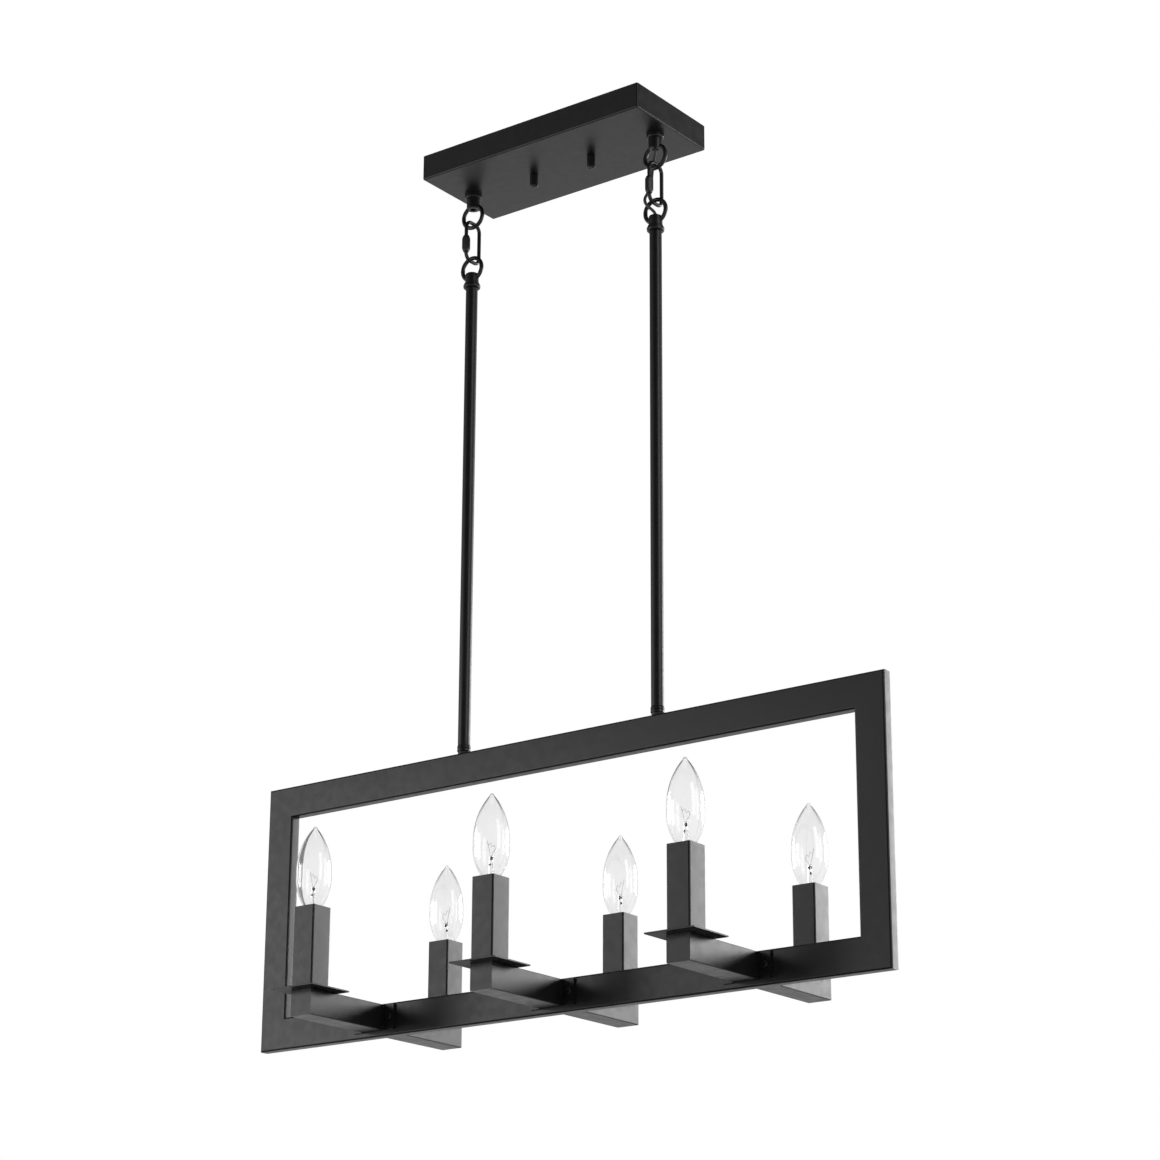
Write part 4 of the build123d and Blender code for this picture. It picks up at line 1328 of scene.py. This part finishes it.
def half_arm():
    """Closed square tube with a shoulder and a two-eared flange, made at X = 0 on the +Y side."""
    low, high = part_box("arm_5")
    flange_y = low.y + FLANGE_SHEET
    shoulder_y = flange_y + SHOULDER_LENGTH
    tube = ARM_WIDTH / 2
    shoulder = tube + SHOULDER_PROUD
    right_side = [
        (high.x, low.y), (high.x, flange_y), (shoulder, flange_y), (shoulder, shoulder_y),
        (tube, shoulder_y), (tube, high.y),
    ]
    plan = right_side + [(-x, y) for x, y in reversed(right_side)]
    arm = bmesh.new()
    face = arm.faces.new([arm.verts.new((x, y, low.z)) for x, y in plan])
    grown = bmesh.ops.extrude_face_region(arm, geom=[face])["geom"]
    bmesh.ops.translate(arm, verts=only(BMVert, grown), vec=(0, 0, high.z - low.z))
    bmesh.ops.recalc_face_normals(arm, faces=arm.faces)
    round_edges(arm, ARM_EDGE, lambda edge: runs_along(edge, 1))
    soften(arm, 0.3 * MM)
    cavity = block(
        (-tube + ARM_WALL, flange_y - MM, low.z + ARM_WALL),
        (tube - ARM_WALL, high.y - ARM_WALL, high.z - ARM_WALL),
    )
    arm = flange_drilled(cut(arm, cavity), 0, low.y, (low.z + high.z) / 2, -MM, 2 * FLANGE_SHEET)
    return drilled(arm, PIPE_HOLE, high.z - 2 * ARM_WALL, high.z + MM, 0, light_y)


def arm_screw():
    """Pan-head screw with a cross recess, lying along Y with its head's foot at the flange."""
    head = SCREW_HEAD / 2
    shank = SCREW_SHANK / 2
    outline = [
        (0, -SCREW_LENGTH), (shank, -SCREW_LENGTH), (shank, 0), (head, 0),
        (head, SCREW_HEAD_HEIGHT, SCREW_HEAD_ROUNDING * SCREW_HEAD_HEIGHT), (0, SCREW_HEAD_HEIGHT),
    ]
    screw = lathe(outline, steps=32)
    length = SCREW_RECESS_LENGTH / 2
    width = SCREW_RECESS_WIDTH / 2
    foot = SCREW_HEAD_HEIGHT - SCREW_RECESS_DEPTH
    for half_x, half_y in ((length, width), (width, length)):
        recess = block((-half_x, -half_y, foot), (half_x, half_y, SCREW_HEAD_HEIGHT + MM))
        screw = cut(screw, recess)
    return screw


class PENDANT_OT_arms(bpy.types.Operator):
    """Make the six half arms and the screws through their flanges"""

    bl_idname = "pendant.arms"
    bl_label = "Cross arms"

    def execute(self, context):
        arm = half_arm()
        place = middle("arm_5")
        flange_y = lowest("arm_5").y + FLANGE_SHEET
        screws = []
        for number in LIGHT_NUMBERS:
            coated(at_light(arm, number), f"arm_{number}", "pendant")
            for offset in (-EAR_SCREW_X, EAR_SCREW_X):
                turn = Matrix.Rotation(radians(SCREW_TURN * number + EAR_TURN * offset), 3, "Z")
                screw = moved(arm_screw(), (0, 0, 0), turn)
                screws.append(at_light(laid_along_y(screw, offset, flange_y, place.z), number))
        arm.free()
        formed(gathered(screws), "arm_screws_blackened", "pendant", "black_oxide_screw",
               ["arm_screws"])
        return {"FINISHED"}


# ---- candle lights ----------------------------------------------------------------------


def drip_plate():
    low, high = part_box("drip_plate_5")
    plate = soften(block(low, high), 0.3 * MM, 3)
    return drilled(plate, PIPE_HOLE, low.z - MM, high.z + MM, 0, light_y)


def candle_sleeve():
    """Square sleeve folded from sheet, open at both ends."""
    low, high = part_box("candle_sleeve_5")
    outside = block(low, high)
    round_edges(outside, SLEEVE_EDGE, lambda edge: runs_along(edge, 2))
    wall = Vector((SLEEVE_WALL, SLEEVE_WALL, -MM))
    return soften(cut(outside, block(low + wall, high - wall)), 0.12 * MM, 2)


class PENDANT_OT_candles(bpy.types.Operator):
    """Make the six drip plates and the square sleeves that stand on them"""

    bl_idname = "pendant.candles"
    bl_label = "Plates and sleeves"

    def execute(self, context):
        for form, node in ((drip_plate(), "drip_plate"), (candle_sleeve(), "candle_sleeve")):
            for number in LIGHT_NUMBERS:
                coated(at_light(form, number), f"{node}_{number}", "pendant")
            form.free()
        return {"FINISHED"}


# ---- lamp holders -----------------------------------------------------------------------


def lamp_holder():
    """Moulded holder with a stepped rim, a socket for the bulb and a pocket for the stem."""
    outer = highest("lamp_holders").x - middle("candle_sleeve_3").x
    rim = outer - HOLDER_STEP
    socket = SOCKET_BORE / 2
    stem = PIPE_THREAD / 2
    socket_foot = contact_z - SEAT_GAP
    pocket_top = holder_foot + STEM_INTO_HOLDER
    outline = [
        (0, socket_foot), (socket, socket_foot), (socket, holder_top, 0.5 * MM),
        (rim, holder_top, 0.5 * MM), (rim, holder_top - HOLDER_RIM_HEIGHT),
        (outer, holder_top - HOLDER_RIM_HEIGHT, 0.4 * MM), (outer, holder_foot, 0.8 * MM),
        (stem, holder_foot), (stem, pocket_top), (0, pocket_top),
    ]
    return lathe(outline, 0, light_y)


def socket_shell():
    """Rolled brass shell that lines the socket."""
    outer = SOCKET_BORE / 2 - 0.02 * MM
    inner = outer - 0.25 * MM
    foot = contact_z + 2.0 * MM
    top = holder_top - 1.0 * MM
    turns = int((top - foot) / BASE_PITCH)
    step = (top - foot) / turns / 2
    outside = [(outer - 0.12 * MM * (n % 2), foot + n * step, 0.2 * MM) for n in range(2 * turns + 1)]
    inside = [(radius - outer + inner, z, rounding) for radius, z, rounding in reversed(outside)]
    return lathe(outside + inside, 0, light_y)


def socket_contact():
    """Sprung brass tongue under the bulb's centre contact."""
    foot = contact_z - SEAT_GAP
    tongue = block(
        (-1.6 * MM, light_y - 5.2 * MM, foot + 0.02 * MM),
        (1.6 * MM, light_y + 2.6 * MM, foot + 0.22 * MM),
    )
    return soften(tongue, 0.05 * MM, 1)


class PENDANT_OT_lamp_holders(bpy.types.Operator):
    """Make the lamp holders inside the sleeves, with their stems and nuts"""

    bl_idname = "pendant.lamp_holders"
    bl_label = "Lamp holders"

    def execute(self, context):
        forms = (
            (lamp_holder(), "lamp_holders_moulded", "moulded_holder", "holder_plastic", ["lamp_holders"]),
            (socket_shell(), "socket_shells", "socket_brass", "bulb_base_metal", []),
            (socket_contact(), "socket_contacts", "socket_brass", "bulb_base_metal", []),
        )
        for form, name, material, slot, nodes in forms:
            together = gathered([at_light(form, number) for number in LIGHT_NUMBERS])
            form.free()
            formed(together, name, "pendant", material, nodes)
        for node in ("holder_stems", "holder_nuts"):
            repainted(node, "zinc_plate")
        return {"FINISHED"}


# ---- bulbs ------------------------------------------------------------------------------


def arc_through(first, second, third, steps):
    """Points along the arc through three places, from the first to just before the third."""
    (ax, ay), (bx, by), (cx, cy) = first, second, third
    d = 2 * (ax * (by - cy) + bx * (cy - ay) + cx * (ay - by))
    a2, b2, c2 = ax * ax + ay * ay, bx * bx + by * by, cx * cx + cy * cy
    ux = (a2 * (by - cy) + b2 * (cy - ay) + c2 * (ay - by)) / d
    uy = (a2 * (cx - bx) + b2 * (ax - cx) + c2 * (bx - ax)) / d
    radius = Vector((ax - ux, ay - uy)).length
    start = atan2(ay - uy, ax - ux)
    sweep = (atan2(cy - uy, cx - ux) - start + pi) % (2 * pi) - pi
    angles = [start + sweep * step / steps for step in range(steps)]
    return [(ux + radius * cos(angle), uy + radius * sin(angle)) for angle in angles]


def torpedo(wall):
    """Half a torpedo's outline from tip to neck, set in by a wall."""
    widest = bulb_radius - wall
    neck = BULB_NECK / 2 - wall
    tip = BULB_TIP_RADIUS - 0.5 * wall
    top = tip_z - wall
    widest_z = tip_z - BULB_WIDEST_BELOW_TIP
    crown = arc_through((0, top), (0.7 * tip, top - 0.3 * tip), (tip, top - tip), 8)
    shoulder = arc_through(
        (tip, top - tip), (0.66 * widest, top - 0.35 * (top - widest_z)), (widest, widest_z), 28,
    )
    flank = arc_through((widest, widest_z), (0.9 * widest, (widest_z + neck_z) / 2), (neck, neck_z), 20)
    return crown + shoulder + flank + [(neck, neck_z)]


def bulb_glass(wall):
    """Clear envelope with its inner wall, and the glass stem with its pinched top."""
    outer = torpedo(0.0)
    inner = torpedo(wall)
    envelope = lathe([(0.0, outer[0][1])] + outer[1:] + inner[:0:-1] + [(0.0, inner[0][1])], 0, light_y)
    flare = BULB_NECK / 2 - wall - 0.05 * MM
    stem = GLASS_STEM / 2
    outline = [
        (0, neck_z + 0.05 * MM), (flare, neck_z + 0.05 * MM), (flare, neck_z + 0.6 * MM),
        (stem, neck_z + GLASS_STEM_FLARE, 1.2 * MM), (stem, neck_z + GLASS_STEM_HEIGHT, 0.8 * MM),
        (0, neck_z + GLASS_STEM_HEIGHT),
    ]
    glass_stem = lathe(outline, 0, light_y, 32)
    pinch_from = neck_z + 0.45 * GLASS_STEM_HEIGHT
    for vert in glass_stem.verts:
        share = max(0.0, min(1.0, (vert.co.z - pinch_from) / (4 * MM)))
        vert.co.y = light_y + (vert.co.y - light_y) * (1 - 0.45 * share)
    return gathered([envelope, glass_stem])


def filament(bulb):
    """Fine wire that zigzags between the two lead wires, and its ends."""
    low = sleeve_top + FILAMENT_FOOT
    high = sleeve_top + FILAMENT_TOP
    half = FILAMENT_WIDTH / 2
    count = bulb.filament_zigzags
    points = []
    for turn in range(count + 1):
        share = turn / count
        lift = low + (high - low) * (0.25 + 0.75 * share if turn % 2 else 0.62 * share)
        points.append((half * (2 * share - 1), light_y + 0.8 * MM * (-1) ** turn, lift))
    return curve_mesh(curve_line(points, "POLY"), bulb.filament_wire), (points[0], points[-1])


def wire_mesh(points, diameter):
    return curve_mesh(curve_line(points, "NURBS", 8), diameter)


def mesh_form(mesh):
    """A mesh as a form to be gathered with others."""
    bm = bmesh.new()
    bm.from_mesh(mesh)
    bpy.data.meshes.remove(mesh)
    return oriented(bm)


def lead_wires(ends):
    """The two wires from the glass stem to the ends of the filament."""
    stem_top = neck_z + GLASS_STEM_HEIGHT
    wires = []
    for end, side in zip(ends, (-1, 1)):
        x = side * 1.1 * MM
        points = [
            (x, light_y, stem_top - 4 * MM), (x, light_y, stem_top + 0.5 * MM),
            (x + side * 0.6 * MM, light_y, stem_top + 2.5 * MM),
            (0.8 * end[0], light_y, end[2] - 2.5 * MM), end,
        ]
        wires.append(mesh_form(wire_mesh(points, 0.45 * MM)))
    return gathered(wires)


def sealed_wires():
    """Dark sealed lengths of the lead wires inside the glass stem."""
    beads = []
    for x, above, radius, half in (
        (0.9 * MM, 12.6 * MM, 0.75 * MM, 1.6 * MM), (-0.5 * MM, 18.4 * MM, 1.05 * MM, 2.3 * MM),
    ):
        centre = sleeve_top + above
        outline = [
            (0, centre - half), (radius, centre - 0.5 * half, 0.3 * MM),
            (radius, centre + 0.5 * half, 0.3 * MM), (0, centre + half),
        ]
        beads.append(lathe(outline, x, light_y, 16))
    return gathered(beads)


def screw_shell():
    """Rolled screw shell with its plain collar."""
    neck = BULB_NECK / 2
    collar_z = holder_top + SEAT_GAP
    thread_top = collar_z + 0.2 * MM
    thread = threaded_bar(
        BASE_SHELL, BASE_PITCH, BASE_THREAD_DEPTH, shell_foot, thread_top, 0, light_y, 40,
    )
    collar = [(0, collar_z), (neck, collar_z, 0.3 * MM), (neck, neck_z, 0.2 * MM), (0, neck_z)]
    return combined(thread, lathe(collar, 0, light_y), "UNION")


def insulator():
    contact = BASE_CONTACT / 2
    outline = [
        (0, shell_foot), (0.93 * BASE_SHELL / 2, shell_foot),
        (contact, contact_z + contact / 2, 0.4 * MM), (0, contact_z + contact / 2),
    ]
    return lathe(outline, 0, light_y, 40)


def centre_contact():
    contact = BASE_CONTACT / 2
    outline = [
        (0, contact_z), (0.55 * contact, contact_z, 0.3 * MM),
        (0.92 * contact, contact_z + 0.45 * contact, 0.4 * MM),
        (0.92 * contact, contact_z + 0.6 * contact), (0, contact_z + 0.6 * contact),
    ]
    return lathe(outline, 0, light_y, 32)


class PENDANT_OT_bulbs(bpy.types.Operator):
    """Make the six clear torpedo bulbs with their filaments and screw bases"""

    bl_idname = "pendant.bulbs"
    bl_label = "Bulbs"

    def execute(self, context):
        bulb = context.scene.pendant_bulb
        filament_mesh, ends = filament(bulb)
        forms = (
            (bulb_glass(bulb.wall), "envelope", "clear_bulb_glass", "clear_glass", "bulb_glass"),
            (mesh_form(filament_mesh), "filament", "tungsten_filament", "bulb_base_metal", None),
            (lead_wires(ends), "lead_wires", "nickel_lead_wire", "bulb_base_metal", None),
            (sealed_wires(), "sealed_wires", "sealed_wire", "bulb_base_metal", None),
            (screw_shell(), "screw_shell", "nickelled_brass", "bulb_base_metal", "bulb_base"),
            (insulator(), "insulator", "dark_glass_insulator", "holder_plastic", None),
            (centre_contact(), "contact", "solder", "bulb_base_metal", None),
        )
        for form, name, material, slot, node in forms:
            for number in LIGHT_NUMBERS:
                nodes = [f"{node}_{number}"] if node else []
                body = f"bulb_{number}"
                formed(at_light(form, number), f"{body}_{name}", body, material, nodes, False)
            form.free()
        return {"FINISHED"}


# ---- wiring -----------------------------------------------------------------------------


class PENDANT_OT_wiring(bpy.types.Operator):
    """Finish the wiring that runs inside the right rod, the frame and the arms"""

    bl_idname = "pendant.wiring"
    bl_label = "Inner wiring"

    def execute(self, context):
        repainted("inner_harness", "cord_jacket")
        return {"FINISHED"}


# ---- camera, floor and lamps ------------------------------------------------------------


class PENDANT_OT_camera(bpy.types.Operator):
    """Stand the camera where the photograph was taken from"""

    bl_idname = "pendant.camera"
    bl_label = "Camera"

    def execute(self, context):
        yaw, pitch, roll = (radians(angle) for angle in (CAMERA_YAW, CAMERA_PITCH, CAMERA_ROLL))
        forward = Vector((-sin(yaw) * cos(pitch), cos(yaw) * cos(pitch), sin(pitch)))
        level = Vector((cos(yaw), sin(yaw), 0))
        raised = level.cross(forward)
        right = level * cos(roll) + raised * sin(roll)
        up = -level * sin(roll) + raised * cos(roll)
        data = bpy.data.cameras.new("photo_camera")
        data.sensor_width = CAMERA_SENSOR
        data.lens = CAMERA_LENS
        data.clip_end = 50.0
        camera = placed("photo_camera", data)
        turn = Matrix((right, up, -forward)).transposed().to_4x4()
        camera.matrix_world = Matrix.Translation(CAMERA_PLACE) @ turn
        context.scene.camera = camera
        return {"FINISHED"}


def soft_panel(name, place, aim, width, height, radiance):
    """A soft rectangular lamp of a given brightness, out of the camera's sight."""
    data = bpy.data.lights.new(name, "AREA")
    data.shape = "RECTANGLE"
    data.size = width
    data.size_y = height
    data.energy = radiance * pi * width * height
    lamp = placed(name, data)
    turn = (Vector(aim) - Vector(place)).to_track_quat("-Z", "Y").to_matrix().to_4x4()
    lamp.matrix_world = Matrix.Translation(place) @ turn
    lamp.visible_camera = False


def studio_world(studio):
    """White to the camera and through glass; softly graded light on everything else."""
    world = bpy.data.worlds.new("studio_air")
    bpy.context.scene.world = world
    world.use_nodes = True
    tree = world.node_tree
    tree.nodes.clear()
    direction = add(tree, "ShaderNodeTexCoord").outputs["Generated"]
    seen, glossy = seen_and_mirrored(tree)
    mirrored = ranged(tree, upright_part(tree, direction), *MIRRORED_HEIGHTS, *MIRRORED_LIGHT)
    beside = dot(tree, direction, DARK_SIDE)
    unlit = ranged(tree, beside, *DARK_SIDE_EDGE, 1.0, DARK_SIDE_LIGHT)
    mirrored = math(tree, "MULTIPLY", mirrored, unlit)
    strength = add(tree, "ShaderNodeMix", {0: glossy, 2: studio.ambient, 3: mirrored})
    strength = add(tree, "ShaderNodeMix", {0: seen, 2: strength.outputs[0], 3: 1.0})
    inputs = {"Color": opaque(WHITE), "Strength": strength.outputs[0]}
    background = add(tree, "ShaderNodeBackground", inputs)
    output = tree.nodes.new("ShaderNodeOutputWorld")
    tree.links.new(background.outputs[0], output.inputs["Surface"])


def studio_floor(studio):
    """Wide pale floor that keeps its shadow near the pendant and fades to white further out."""
    bm = bmesh.new()
    bmesh.ops.create_circle(bm, cap_ends=True, segments=96, radius=FLOOR_RADIUS)
    mesh = mesh_of(moved(bm, (0, 0, studio.floor_level)), "studio_floor")
    floor = placed("studio_floor", mesh)
    tree, shader = new_material("pale_floor")
    grain = noise(tree, 0.4, 3.0)
    base = studio.floor_color
    color = mixed(tree, ranged(tree, grain, 0.3, 0.7), dimmed(base, 0.985), base)
    shade(tree, shader, Base_Color=color, Roughness=0.9)
    inputs = {0: object_place(tree), 1: (1, 1, 0)}
    flat = add(tree, "ShaderNodeVectorMath", inputs, operation="MULTIPLY")
    length = add(tree, "ShaderNodeVectorMath", {0: flat.outputs[0]}, operation="LENGTH")
    distance = length.outputs["Value"]
    fade = ranged(tree, distance, *FADE_TO_WHITE)
    far = ranged(tree, distance, *MIRRORED_WHITE)
    seen, glossy = seen_and_mirrored(tree)
    white = add(tree, "ShaderNodeEmission", {"Color": opaque(WHITE), "Strength": 1.0})
    whiteness = math(tree, "MULTIPLY", fade, seen)
    whiteness = math(tree, "MAXIMUM", whiteness, math(tree, "MULTIPLY", far, glossy))
    inputs = {0: whiteness, 1: shader.outputs[0], 2: white.outputs[0]}
    surface = add(tree, "ShaderNodeMixShader", inputs)
    near = ranged(tree, distance, *MIRRORED_DIM, 1.0, 0.0)
    near = math(tree, "MULTIPLY", near, glossy)
    dim = add(tree, "ShaderNodeEmission", {"Color": opaque(WHITE), "Strength": DIM_LIGHT})
    inputs = {0: near, 1: surface.outputs[0], 2: dim.outputs[0]}
    surface = add(tree, "ShaderNodeMixShader", inputs)
    output = next(node for node in tree.nodes if node.type == "OUTPUT_MATERIAL")
    tree.links.new(surface.outputs[0], output.inputs["Surface"])
    mesh.materials.append(bpy.data.materials["pale_floor"])


class PENDANT_OT_studio(bpy.types.Operator):
    """Set up the pale floor, the white background and the soft lamps"""

    bl_idname = "pendant.studio"
    bl_label = "Studio"

    def execute(self, context):
        studio = context.scene.pendant_studio
        context.scene.view_settings.view_transform = "Standard"
        studio_world(studio)
        studio_floor(studio)
        for lamp in LAMPS:
            soft_panel(*lamp)
        return {"FINISHED"}


# ---- add-on -----------------------------------------------------------------------------


class PENDANT_PT_sidebar(bpy.types.Panel):
    """Lists the steps that dress the pendant"""

    bl_idname = "PENDANT_PT_sidebar"
    bl_label = "Linear island pendant"
    bl_space_type = "VIEW_3D"
    bl_region_type = "UI"
    bl_category = "Pendant"

    def draw(self, context):
        for settings in SETTINGS:
            box = self.layout.box()
            group = getattr(context.scene, settings)
            for name in group.bl_rna.properties.keys():
                if name not in {"rna_type", "name"}:
                    box.prop(group, name)
        for step in STEPS:
            self.layout.operator(step.bl_idname)


SETTINGS = {
    "pendant_coat": PENDANT_PG_coat, "pendant_bulb": PENDANT_PG_bulb,
    "pendant_cord": PENDANT_PG_cord, "pendant_studio": PENDANT_PG_studio,
}
STEPS = (
    PENDANT_OT_camera, PENDANT_OT_supply_cord, PENDANT_OT_canopy, PENDANT_OT_hanging_points,
    PENDANT_OT_rods, PENDANT_OT_frame, PENDANT_OT_arms, PENDANT_OT_candles, PENDANT_OT_lamp_holders,
    PENDANT_OT_bulbs, PENDANT_OT_wiring, PENDANT_OT_studio,
)
CLASSES = (*SETTINGS.values(), *STEPS, PENDANT_PT_sidebar)


def register():
    for cls in CLASSES:
        bpy.utils.register_class(cls)
    for name, group in SETTINGS.items():
        setattr(bpy.types.Scene, name, PointerProperty(type=group))


def unregister():
    for name in SETTINGS:
        delattr(bpy.types.Scene, name)
    for cls in reversed(CLASSES):
        bpy.utils.unregister_class(cls)


def main():
    register()
    make_materials(bpy.context.scene)
    for step in STEPS:
        namespace, name = step.bl_idname.split(".")
        getattr(getattr(bpy.ops, namespace), name)()


if __name__ == "__main__":
    main()
